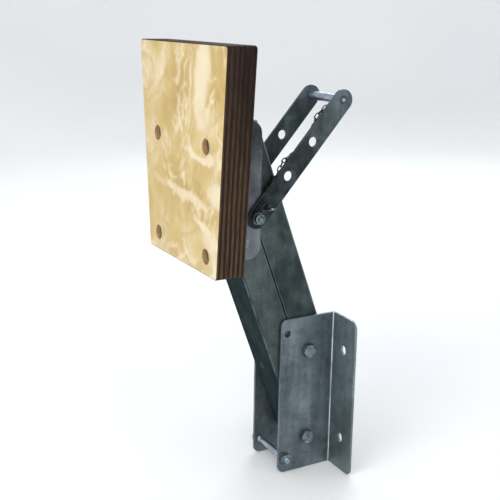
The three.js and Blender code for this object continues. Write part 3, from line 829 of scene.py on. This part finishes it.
# ---------- folded plates ----------
def angle_plate(name, side, web_corners, flange_corners, holes, materials, fold_highlight=0):
    """An L plate. Holes are (place, z, radius, extra): a place in X is in the web, one in Y, as
    ("flange", y), is in the flange. The last argument is how bright a highlight is painted inside its fold."""
    low, high = corners_of(name)
    back, edge = (high.x, low.x) if name.startswith("transom") else (low.x, high.x)
    heading = math.copysign(1, back - edge)
    reach = max(abs(low.y), abs(high.y))
    web = abs(back - edge) - PLATE - BEND
    end = web + ARC + reach - CHEEK_OUT - BEND
    around = [
        (0, low.z, web_corners),
        (end, low.z, flange_corners[0]),
        (end, high.z, flange_corners[1]),
        (0, high.z, web_corners),
    ]
    outlines = [(rounded(around), edge_levels(PLATE))]
    for place, z, radius, extra in holes:
        if isinstance(place, tuple):
            s = web + ARC + place[1] - CHEEK_OUT - BEND
        else:
            s = abs(place - edge)
        outlines.append((hole(s, z, radius, extra), edge_levels(PLATE, 0.4, 0.5)))

    def where(u, v, z):
        return Vector((edge + heading * u, side * (CHEEK_IN + PLATE / 2 + v), z))

    bm = fold(slab(outlines), [web], where, fold_highlight)
    for face in bm.faces:
        face.material_index = int(abs(face.calc_center_median().y) > CHEEK_OUT + BEND)
    return made(name + "_steel", bm, materials, name, slot="galvanised_plate")


def transom_angles():
    rod = middle_of("tie_rod")
    for name, side in SIDES.items():
        holes = []
        for up in (-1, 1):
            pivot = middle_of("transom_upper_bolt")
            holes.append((pivot.x, up * pivot.z, PIVOT_BOLT["r"] + GAP, 0))
            holes.append((rod.x, up * rod.z, 5.2, 0))
            slot = MOUNT_SLOT
            holes.append((("flange", slot["y"]), up * slot["z"], slot["r"], slot["extra"]))
        # The inside of each transom angle's fold gets a painted highlight line.
        angle_plate("transom_angle_" + name, side, 10, (8, 15), holes, [STEEL, FLANGE_STEEL], fold_highlight=2)


def pad_angles():
    pivots = [middle_of("pad_upper_bolt"), middle_of("pad_lower_bolt")]
    screw = middle_of("handle_screw_left")
    bolts = [middle_of("pad_bolt_lower_left"), middle_of("pad_bolt_upper_left")]
    for name, side in SIDES.items():
        holes = [(p.x, p.z, PIVOT_BOLT["r"] + GAP, 0) for p in pivots]
        holes.append((screw.x, screw.z, HANDLE_SCREW["head_r"] + GAP, 0))
        holes += [(("flange", b.y), b.z, CARRIAGE["r"] + GAP, 0) for b in bolts]
        angle_plate("pad_angle_" + name, side, 18, (12, 12), holes, [CHEEK_STEEL, CHEEK_STEEL])


WEB_BACK = 8  # an arm's web stops this short of its walls' ends


def arm(name, spec, start, end, lock_hole=None):
    """A channel folded from a blank. Its web is cut back between its rounded walls, except at the pad
    end of the upper arm, which is square."""
    depth = spec["outboard"] + spec["inboard"]
    closed_outboard = spec["web"] == "outboard"
    opening = spec["inboard"] if closed_outboard else -spec["outboard"]
    heading = -1 if closed_outboard else 1
    corner = 13 if closed_outboard else 9
    run = end - start
    length = run.length
    wall = depth - PLATE - BEND
    web = 2 * (ARM_HALF - PLATE - BEND)
    width = 2 * (wall + ARC) + web
    low, high = -ARM_END, length + ARM_END
    inset = wall - 1
    foot = [
        (0, low, corner),
        (inset, low, 4),
        (inset, low + WEB_BACK, 3),
        (width - inset, low + WEB_BACK, 3),
        (width - inset, low, 4),
        (width, low, corner),
    ]
    head = [(width - x, low + high - z, radius) for x, z, radius in foot]
    if not closed_outboard:
        head = [(width, high, corner), (0, high, corner)]
    around = foot + head
    outlines = [(rounded(around), edge_levels(PLATE))]
    drilled = [(0, 0, PIVOT_BOLT["r"] + GAP), (0, length, PIVOT_BOLT["r"] + GAP)]
    if lock_hole:
        drilled.append((lock_hole.x, lock_hole.y, 5.5))
    for x, z, radius in drilled:
        s = abs(x - opening)
        for place in (s, width - s):
            outlines.append((hole(place, z, radius), edge_levels(PLATE, 0.4, 0.5)))
    if spec["vent"]:
        outlines.append((hole(width / 2 + 4, spec["vent"], 4), edge_levels(PLATE, 0.4, 0.5)))

    def where(u, v, z):
        return Vector((opening + heading * u, v - ARM_HALF + PLATE / 2, z))

    # The outsides of the arm's folds are lightened as wear and as a painted highlight.
    bm = fold(slab(outlines), [wall, wall + ARC + web], where, ridge=1)
    lean = Matrix.Rotation(math.atan2(run.x, run.z), 4, "Y")
    place = Matrix.Translation(Vector((start.x, 0, start.z)))
    for face in bm.faces:
        depth_in = (face.calc_center_median().x - opening) * heading
        if closed_outboard and depth_in > wall + BEND:
            face.material_index = 1
    steels = [LOWER_ARM_STEEL, SHADED_WEB_STEEL] if closed_outboard else [UPPER_ARM_SHADED_STEEL]
    made(name + "_steel", bm, steels, name, place @ lean, slot="galvanised_plate")


def arms():
    park = middle_of("locking_pin")
    for name, spec in (("lower_arm", LOWER_ARM), ("upper_arm", UPPER_ARM)):
        start = middle_of(name + "_transom_sleeve")
        end = middle_of(name + "_pad_sleeve")
        lock_hole = None
        if name == "upper_arm":
            along = (end - start).normalized()
            off = park - start
            lock_hole = Vector((off.x * along.z - off.z * along.x, off.x * along.x + off.z * along.z))
        arm(name, spec, start, end, lock_hole)
        for end_name in ("transom", "pad"):
            sleeve("_".join((name, end_name, "sleeve")))


def sleeve(node):
    low, high = corners_of(node)
    half = (high.y - low.y) / 2
    bore = PIVOT_BOLT["r"] + GAP
    rings = [
        circle(bore, -half),
        circle(SLEEVE_R - 0.4, -half),
        circle(SLEEVE_R, 0.4 - half),
        circle(SLEEVE_R, half - 0.4),
        circle(SLEEVE_R - 0.4, half),
        circle(bore, half),
    ]
    bm = bmesh.new()
    loft(bm, rings, closed=True)
    made(node + "_tube", bm, [BOLT_ZINC], node, pointing(middle_of(node), ALONG["left"]), slot="zinc_fastener")


# ---------- fasteners, drawn along +Y with the seat at the origin ----------
PITCH = {12: 1.75, 10: 1.5, 8: 1.25}


def shank(bm, radius, seat, tip, thread_length, pitch):
    """A bolt's shank from its seat down to a threaded tip; it returns the ring at the seat."""
    start = tip + 0.8
    end = min(tip + thread_length, seat - 1)
    root = threaded(bm, radius, pitch, start, end)
    loft_open(bm, [circle(root - 0.9, tip), circle(root, start)], cap=True)
    loft_open(bm, [circle(root, end), circle(radius, end + 0.6), circle(radius, seat)])


def loft_open(bm, rings, cap=False):
    """A skin over rings whose last end stays open to be welded; cap closes the first."""
    made_rings = [[bm.verts.new(p) for p in ring] for ring in rings]
    for low, high in zip(made_rings, made_rings[1:]):
        bridge(bm, low, high)
    if cap:
        ring = made_rings[0]
        tip = bm.verts.new(sum((v.co for v in ring), Vector()) / len(ring))
        for i, v in enumerate(ring):
            bm.faces.new((v, ring[(i + 1) % len(ring)], tip))


def hex_bolt(bm, radius, af, head, tip, thread_length, pitch):
    shank(bm, radius, 0, tip, thread_length, pitch)
    rings = [*reversed(hex_top(af, head)), hexagon(af, 0.7), circle(af / 2 * 0.92, 0.6)]
    rings += [circle(af / 2 * 0.92, 0), circle(radius, 0)]
    loft_open(bm, rings, cap=True)


def hex_nut(bm, bore, af, height):
    top = hex_top(af, height)[:2]
    foot = [[Vector((p.x, height - p.y, p.z)) for p in ring] for ring in top]
    mouth = bore + 0.7
    rings = [circle(bore, 0.7), circle(mouth, 0), foot[1], foot[0], top[0], top[1]]
    rings += [circle(mouth, height), circle(bore, height - 0.7)]
    loft(bm, rings, closed=True)


def flat_washer(bm, bore, outer, thick):
    soft = 0.3
    rings = [
        circle(bore, 0),
        circle(outer - soft, 0),
        circle(outer, soft),
        circle(outer, thick - soft),
        circle(outer - soft, thick),
        circle(bore, thick),
    ]
    loft(bm, rings, closed=True)


def fastener(node, kind, direction, shape, material=None):
    """Makes one nut, washer or bolt with its seat on the side that direction points away from."""
    low, high = corners_of(node)
    place = (low + high) / 2
    axis = 0 if abs(direction.x) > 0.5 else 1
    place[axis] = low[axis] if direction[axis] > 0 else high[axis]
    bm = bmesh.new()
    shape(bm, high[axis] - low[axis])
    matrix = pointing(place, direction)
    made("_".join((node, kind)), bm, [material or BOLT_ZINC], node, matrix, slot="zinc_fastener")


def nut_and_washer(prefix, suffix, direction, spec, material=None):
    """The washer and nut at PREFIX_washer_SUFFIX and PREFIX_nut_SUFFIX, or without a suffix."""
    tail = "_" + suffix if suffix else ""
    bore = spec["r"] + GAP
    fastener(
        prefix + "_washer" + tail,
        "ring",
        direction,
        lambda bm, thick: flat_washer(bm, bore, spec["washer"], thick),
        material,
    )
    fastener(
        prefix + "_nut" + tail,
        "hex",
        direction,
        lambda bm, height: hex_nut(bm, bore, spec["af"], height),
        material,
    )


def pivots():
    """Four pivot bolts, heads to the right and nuts on washers to the left."""
    spec = PIVOT_BOLT
    for prefix in ("transom_upper", "transom_lower", "pad_upper", "pad_lower"):
        node = prefix + "_bolt"
        low, high = corners_of(node)
        seat = Vector((middle_of(node).x, low.y + spec["head"], middle_of(node).z))
        bm = bmesh.new()
        hex_bolt(bm, spec["r"], spec["af"], spec["head"], seat.y - high.y, 26, PITCH[12])
        made(node + "_hex", bm, [BOLT_ZINC], node, pointing(seat, ALONG["right"]), slot="zinc_fastener")
        nut_and_washer(prefix, "", ALONG["left"], spec)


def tie_rod():
    node = "tie_rod"
    low, high = corners_of(node)
    half = (high.y - low.y) / 2
    root = 0
    bm = bmesh.new()
    for end in (-1, 1):
        side = bmesh.new()
        root = threaded(side, TIE_ROD["r"], PITCH[10], 0.8 - half, 20 - half)
        loft_open(side, [circle(root - 0.8, -half), circle(root, 0.8 - half)], cap=True)
        loft_open(side, [circle(root, 20 - half), circle(TIE_ROD["r"], 20.6 - half), circle(TIE_ROD["r"], 0)])
        if end > 0:
            side.transform(Matrix.Rotation(math.pi, 4, "X"))
        mesh = bpy.data.meshes.new("rod_half")
        side.to_mesh(mesh)
        side.free()
        bm.from_mesh(mesh)
        bpy.data.meshes.remove(mesh)
    made(node + "_bar", bm, [ROD_ZINC], node, pointing(middle_of(node), ALONG["left"]), slot="zinc_fastener")
    for name in SIDES:
        fastener(
            "tie_rod_nut_" + name,
            "hex",
            ALONG[name],
            lambda bm, height: hex_nut(bm, TIE_ROD["r"] + GAP, TIE_ROD["af"], height),
        )


def carriage_bolt(node):
    """A domed bolt from the counterbore through both boards and the steel."""
    spec = CARRIAGE
    low, high = corners_of(node)
    seat = Vector((low.x + spec["head"], middle_of(node).y, middle_of(node).z))
    bm = bmesh.new()
    shank(bm, spec["r"], 0, seat.x - high.x, 20, PITCH[10])
    rings = []
    for k in range(8):
        turn = (1 - k / 8) * math.pi / 2
        height = 0.7 + (spec["head"] - 0.7) * math.sin(turn)
        rings.append(circle(spec["head_r"] * math.cos(turn) + 0.05, height))
    rings += [circle(spec["head_r"], 0.7), circle(spec["head_r"] - 0.3, 0), circle(spec["r"], 0)]
    loft_open(bm, rings, cap=True)
    made(node + "_dome", bm, [BOLT_ZINC], node, pointing(seat, ALONG["outboard"]), slot="zinc_fastener")


def pad_bolts():
    for level in ("lower", "upper"):
        for name in SIDES:
            suffix = level + "_" + name
            carriage_bolt("pad_bolt_" + suffix)
            nut_and_washer("pad", suffix, ALONG["inboard"], CARRIAGE)


# ---------- plywood pad ----------
def board(node, levels, face, edge, bore, bored):
    """One glued sheet of the pad, tapered towards the foot, its layers standing slightly apart."""
    low, high = corners_of(node)
    thick = high.x - low.x
    around = [
        (-PAD_HALF_BOTTOM, low.z, PAD_CORNER),
        (PAD_HALF_BOTTOM, low.z, PAD_CORNER),
        (high.y, high.z, PAD_CORNER),
        (-high.y, high.z, PAD_CORNER),
    ]
    outlines = [(rounded(around), levels(thick))]
    shank_r = CARRIAGE["r"] + GAP
    for level in ("lower", "upper"):
        for name in SIDES:
            bolt = middle_of("pad_bolt_" + level + "_" + name)
            if bored:
                wide, deep = COUNTERBORE["r"], COUNTERBORE["depth"]
                steps = [(0.5, 0, 0), (0, 0.5, 0), (0, deep, 0), (shank_r - wide, deep, 0)]
                steps.append((shank_r - wide, thick, 0))
                outlines.append((hole(bolt.y, bolt.z, wide), steps))
            else:
                outlines.append((hole(bolt.y, bolt.z, shank_r), [(0, 0, 0), (0, thick, 0)]))
    bm = slab(outlines, (0, 1, 0))
    for drilled in bm.faces:
        if drilled.material_index == 1 and in_bore(drilled.calc_center_median()):
            drilled.material_index = 2
    stand = Matrix(((0, 0, 1, low.x), (1, 0, 0, 0), (0, 1, 0, 0), (0, 0, 0, 1)))
    made(node + "_ply", bm, [face, edge, bore], node, stand, slot="plywood", sharp=50)


def in_bore(point):
    """Whether a point of a flat board, in Y and Z, lies at one of the bolts."""
    for level in ("lower", "upper"):
        bolt = middle_of("pad_bolt_" + level + "_left")
        if math.hypot(abs(point.x) - bolt.y, point.y - bolt.z) < COUNTERBORE["r"] + 2:
            return True
    return False


def ply_levels(thick, low_round, high_round):
    """The rounded corner of each face, and a fine groove at each glue line."""
    levels = [(low_round, 0, 0), (low_round * 0.3, low_round * 0.3, 0), (0, low_round, 0)]
    ply = thick / PLIES
    for k in range(1, PLIES):
        seam = k * ply
        levels += [(0, seam - 0.35, 0), (0.16, seam, 0), (0, seam + 0.35, 0)]
    levels += [(0, thick - high_round, 0), (high_round * 0.3, thick - high_round * 0.3, 0)]
    levels.append((high_round, thick, 0))
    return levels


def pad():
    middle = PAD_MIDDLE
    front = veneer("veneer_face", (200, 173, 104), (180, 146, 74), (230, 214, 182), middle)
    rear = veneer("veneer_back", (150, 116, 72), (122, 92, 56), (176, 146, 102), middle)
    low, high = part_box("pad_front_board")
    edge_tones = [(29, 20, 18), (47, 34, 30), (58, 42, 28), (92, 72, 48)]
    edge = ply_edge("ply_edge", low.x, high.x - low.x, edge_tones)
    bore = bore_wood()
    board("pad_front_board", lambda t: ply_levels(t, 1.1, 0.4), front, edge, bore, True)
    board("pad_back_board", lambda t: ply_levels(t, 0.4, 1.1), rear, edge, bore, False)


# ---------- handle ----------
PIVOT = middle_of("handle_screw_left")
GRIP = middle_of("grip_rod")
RUN = Vector((GRIP.x - PIVOT.x, 0, GRIP.z - PIVOT.z))
HANDLE_TURN = Matrix.Rotation(math.atan2(RUN.x, RUN.z), 4, "Y")
HANDLE_PLACE = Matrix.Translation(Vector((PIVOT.x, 0, PIVOT.z))) @ HANDLE_TURN
PARK = middle_of("locking_pin")


def handle_bars():
    """Two flat bars with full round ends, drilled for the pivot, the pin and the grip rod."""
    half = HANDLE["half"]
    length = RUN.length
    end = half * 0.999
    around = [(-half, -half, end), (half, -half, end), (half, length + half, end), (-half, length + half, end)]
    park = math.hypot(PARK.x - PIVOT.x, PARK.z - PIVOT.z)
    drilled = [(0, HANDLE_SCREW["r"] + 0.4), (park, HANDLE["park_r"]), (length, 5 + GAP)]
    drilled += [(along, HANDLE["lock_r"]) for along in HANDLE["lock_holes"]]
    for name in SIDES:
        low, high = corners_of("handle_bar_" + name)
        outlines = [(rounded(around), edge_levels(PLATE))]
        for along, radius in drilled:
            outlines.append((hole(0, along, radius), edge_levels(PLATE, 0.4, 0.5)))
        flat = Matrix(((1, 0, 0, 0), (0, 0, 1, low.y), (0, 1, 0, 0), (0, 0, 0, 1)))
        made(
            "handle_bar_" + name + "_flat",
            slab(outlines),
            [BAR_STEEL],
            "handle_bar_" + name,
            HANDLE_PLACE @ flat,
            slot="galvanised_bar",
        )


def grip_rod():
    """The rod's shouldered ends pass through the bars and are peened over outside."""
    low, high = corners_of("grip_rod")
    bar_in = corners_of("handle_bar_left")[0].y - GAP
    tip = high.y
    neck = 5
    half = [
        circle(neck * 0.25, tip - 1.0),
        circle(neck * 0.5, tip - 0.6),
        circle(neck * 0.72, tip + 0.05),
        circle(neck + 0.9, tip - 0.15),
        circle(neck + 1.1, tip - 0.4),
        circle(neck, tip - 0.5),
        circle(neck, bar_in),
        circle(HANDLE["rod_r"] - 0.4, bar_in),
        circle(HANDLE["rod_r"], bar_in - 0.6),
    ]
    other = [[Vector((p.x, -p.y, p.z)) for p in ring] for ring in reversed(half)]
    bm = bmesh.new()
    loft(bm, half + other)
    for face in bm.faces:
        face.material_index = int(abs(face.calc_center_median().y) > tip - 0.5)
    steels = [ROD_ZINC, PEENED_ZINC]
    made("grip_rod_bar", bm, steels, "grip_rod", pointing(GRIP, ALONG["left"]), slot="zinc_fastener")


def handle_screws():
    """Flat-headed screws, flush inside the pad angles, with a washer and a nut outside the bars."""
    spec = HANDLE_SCREW
    for name, side in SIDES.items():
        node = "handle_screw_" + name
        low, high = corners_of(node)
        head = low.y if side > 0 else high.y
        tip = high.y if side > 0 else low.y
        place = Vector((middle_of(node).x, head, middle_of(node).z))
        length = abs(tip - head)
        sink = spec["head_r"] - spec["r"] + GAP
        bm = bmesh.new()
        shank(bm, spec["r"], -sink, -length, 16, PITCH[8])
        rings = [hexagon(5, -2.6), hexagon(5, 0), circle(spec["head_r"] - 0.2, 0)]
        rings += [circle(spec["head_r"], -GAP), circle(spec["r"], -sink)]
        loft_open(bm, rings, cap=True)
        inward = ALONG["right" if side > 0 else "left"]
        made(node + "_flat_head", bm, [BOLT_ZINC], node, pointing(place, inward), slot="zinc_fastener")
        nut_and_washer("handle", name, ALONG[name], spec)


# ---------- locking pin, ring, shackle and chain ----------
def wire(bm, line, radius, closed=False, sides=10, wear_and_highlight=None):
    """A round wire along points; an open one has rounded ends."""
    count = len(line)
    normal = None
    rings = []
    for i, here in enumerate(line):
        if closed:
            run = (line[(i + 1) % count] - line[i - 1]).normalized()
        else:
            run = (line[min(i + 1, count - 1)] - line[max(i - 1, 0)]).normalized()
        if normal is None:
            guide = Vector((0, 1, 0)) if abs(run.y) < 0.9 else Vector((1, 0, 0))
            normal = (guide - run * guide.dot(run)).normalized()
        else:
            normal = (normal - run * normal.dot(run)).normalized()
        other = run.cross(normal)
        rings.append((here, run, normal, other))

    def ring_at(here, normal, other, size):
        turns = [TURN * k / sides for k in range(sides)]
        return [here + (normal * math.cos(t) + other * math.sin(t)) * size for t in turns]

    skin = [ring_at(here, normal, other, radius) for here, run, normal, other in rings]
    if closed:
        loft(bm, skin, closed=True)
        return
    here, run, normal, other = rings[0]
    skin.insert(0, ring_at(here - run * radius * 0.6, normal, other, radius * 0.7))
    here, run, normal, other = rings[-1]
    skin.append(ring_at(here + run * radius * 0.6, normal, other, radius * 0.7))
    loft(bm, skin)


def locking_pin():
    """A short pin with a bullet tip, flattened behind into an eye for its ring."""
    node = "locking_pin"
    low, high = corners_of(node)
    eye = middle_of("pin_ring").y
    radius = 5
    tab = 4.5
    shoulder = eye + tab
    bm = bmesh.new()
    rings = [circle(radius * 0.45, high.y), circle(radius * 0.8, high.y - 0.5), circle(radius, high.y - 1.9)]
    rings += [circle(radius, shoulder + 1.6), circle(radius - 0.5, shoulder + 0.7)]
    rings.append(circle(radius * 0.8, shoulder))
    loft(bm, rings)
    back = low.y
    around = [
        (-tab, back, 4.2),
        (tab, back, 4.2),
        (tab, shoulder + 1.2, 1),
        (-tab, shoulder + 1.2, 1),
    ]
    thick = 3
    outlines = [(rounded(around), edge_levels(thick, 0.7, 0.3)), (hole(0, eye, 2.4), edge_levels(thick, 0.5, 0.2))]
    flat = slab(outlines)
    flat.transform(Matrix.Translation((0, 0, -thick / 2)))
    mesh = bpy.data.meshes.new("tab")
    flat.to_mesh(mesh)
    flat.free()
    bm.from_mesh(mesh)
    bpy.data.meshes.remove(mesh)
    made(node + "_bolt", bm, [BOLT_ZINC], node, Matrix.Translation((PARK.x, 0, PARK.z)), slot="zinc_fastener")


def pin_ring():
    """A split ring: one wire wound twice round."""
    centre = middle_of("pin_ring")
    low, high = corners_of("pin_ring")
    coil = 0.62
    radius = (high.x - low.x) / 2 - 0.8
    line = []
    for k in range(66):
        turn = 2.02 * TURN * k / 65 + 1.1
        rise = coil * math.tanh((k / 65 - 0.5) * 9)
        line.append(centre + Vector((radius * math.cos(turn), rise, radius * math.sin(turn))))
    bm = bmesh.new()
    wire(bm, line, coil * 0.97)
    made("pin_ring_split", bm, [CHAIN_STEEL], "pin_ring", slot="dark_chain")


def chain_shackle():
    """A bent wire bow round the grip rod, its ends almost meeting."""
    centre = middle_of("chain_shackle")
    low, high = corners_of("chain_shackle")
    thick = (high.y - low.y) / 2
    radius = (high.x - low.x) / 2 - thick
    line = []
    for k in range(44):
        turn = math.radians(-60 + 346 * k / 43)
        line.append(centre + Vector((radius * math.cos(turn), 0, radius * math.sin(turn))))
    bm = bmesh.new()
    wire(bm, line, thick * 0.93)
    made("chain_shackle_bow", bm, [CHAIN_STEEL], "chain_shackle", slot="dark_chain")


# The chain's middle line, as across the bar, Y, and along the bar, in the handle's upright frame.
CHAIN_ROUTE = [
    (-9.6, -36.3, 189),
    (-12.5, -36.3, 181),
    (-14.2, -36.3, 172),
    (-15.8, -36.4, 164),
    (-15.4, -36.5, 157),
    (-11.5, -36.5, 150),
    (-8, -36.4, 138),
    (-7.5, -36.4, 118),
    (-9.5, -36.4, 104),
    (-12, -36.4, 96),
    (-15, -36.5, 90),
    (-17.8, -38, 84),
    (-18.8, -41.6, 77),
    (-18.8, -45, 69),
    (-18, -47.2, 59),
    (-17, -48.8, 44),
    (-15.2, -52.5, 26),
]
LINK = {"wire": 1.55, "long": 9.6, "wide": 4.5}  # of the wire's middle line


def smooth_line(points, step):
    """Points a step apart on a centripetal Catmull-Rom curve."""
    ends = [points[0] * 2 - points[1], *points, points[-1] * 2 - points[-2]]
    fine = []
    for p0, p1, p2, p3 in zip(ends, ends[1:], ends[2:], ends[3:]):
        t0, t1 = 0.0, math.sqrt((p1 - p0).length)
        t2 = t1 + math.sqrt((p2 - p1).length)
        t3 = t2 + math.sqrt((p3 - p2).length)
        for k in range(24):
            t = t1 + (t2 - t1) * k / 24
            a1 = p0.lerp(p1, (t - t0) / (t1 - t0))
            a2 = p1.lerp(p2, (t - t1) / (t2 - t1))
            a3 = p2.lerp(p3, (t - t2) / (t3 - t2))
            b1 = a1.lerp(a2, (t - t0) / (t2 - t0))
            b2 = a2.lerp(a3, (t - t1) / (t3 - t1))
            fine.append(b1.lerp(b2, (t - t1) / (t2 - t1)))
    fine.append(points[-1])
    spaced = [fine[0]]
    left = step
    for a, b in zip(fine, fine[1:]):
        span = (b - a).length
        at = 0.0
        while span - at >= left:
            at += left
            left = step
            spaced.append(a.lerp(b, at / span))
        left -= span - at
    return spaced


def chain_link(bm, centre, run, side):
    """An oval link whose long way is run and whose flat way is side."""
    straight = (LINK["long"] - LINK["wide"]) / 2
    bend = LINK["wide"] / 2
    line = []
    for end in (1, -1):
        for k in range(9):
            turn = math.pi * (k / 8 - 0.5)
            along = end * (straight + bend * math.cos(turn))
            line.append(centre + run * along + side * (end * bend * math.sin(turn)))
    wire(bm, line, LINK["wire"] / 2, closed=True, sides=8)


def pin_chain():
    """Linked ovals from the shackle's bow to the pin's ring, each a quarter turn from the last."""
    shackle = middle_of("chain_shackle")
    ring = middle_of("pin_ring")
    route = [HANDLE_PLACE @ Vector(p) for p in CHAIN_ROUTE]
    route.insert(0, shackle + (route[0] - shackle).normalized() * 8.2)
    reach = route[-1] - ring
    route.append(ring + reach.normalized() * 8.4)
    pitch = LINK["long"] - LINK["wire"] * 1.02
    fine = smooth_line(route, 0.5)
    count = round(0.5 * (len(fine) - 1) / pitch)
    spacing = (len(fine) - 1) / count
    bm = bmesh.new()
    for k in range(count):
        first, last = (fine[min(round((k + e) * spacing), len(fine) - 1)] for e in (0, 1))
        run = (last - first).normalized()
        guide = Vector((0, 1, 0))
        flat = (guide - run * guide.dot(run)).normalized()
        other = run.cross(flat)
        roll = math.radians(45 if k % 2 else -45)
        chain_link(bm, (first + last) / 2, run, flat * math.cos(roll) + other * math.sin(roll))
    chain = made("pin_chain_links", bm, [CHAIN_STEEL], "pin_chain", slot="dark_chain")
    line = [p * MM for p in fine[::4]]
    length = sum((b - a).length for a, b in zip(line, line[1:]))
    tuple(line[0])
    return chain, line


def pin_and_chain():
    locking_pin()
    pin_ring()
    chain_shackle()
    chain, line = pin_chain()
    chain.parent = None
    start, end = line[-40], line[-1]
    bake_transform(chain, "handle", "locking_pin", start=start, end=end)


# ---------- the whole bracket ----------
camera()
studio()
pin_and_chain()
transom_angles()
tie_rod()
arms()
pad_angles()
pivots()
pad()
pad_bolts()
handle_bars()
grip_rod()
handle_screws()
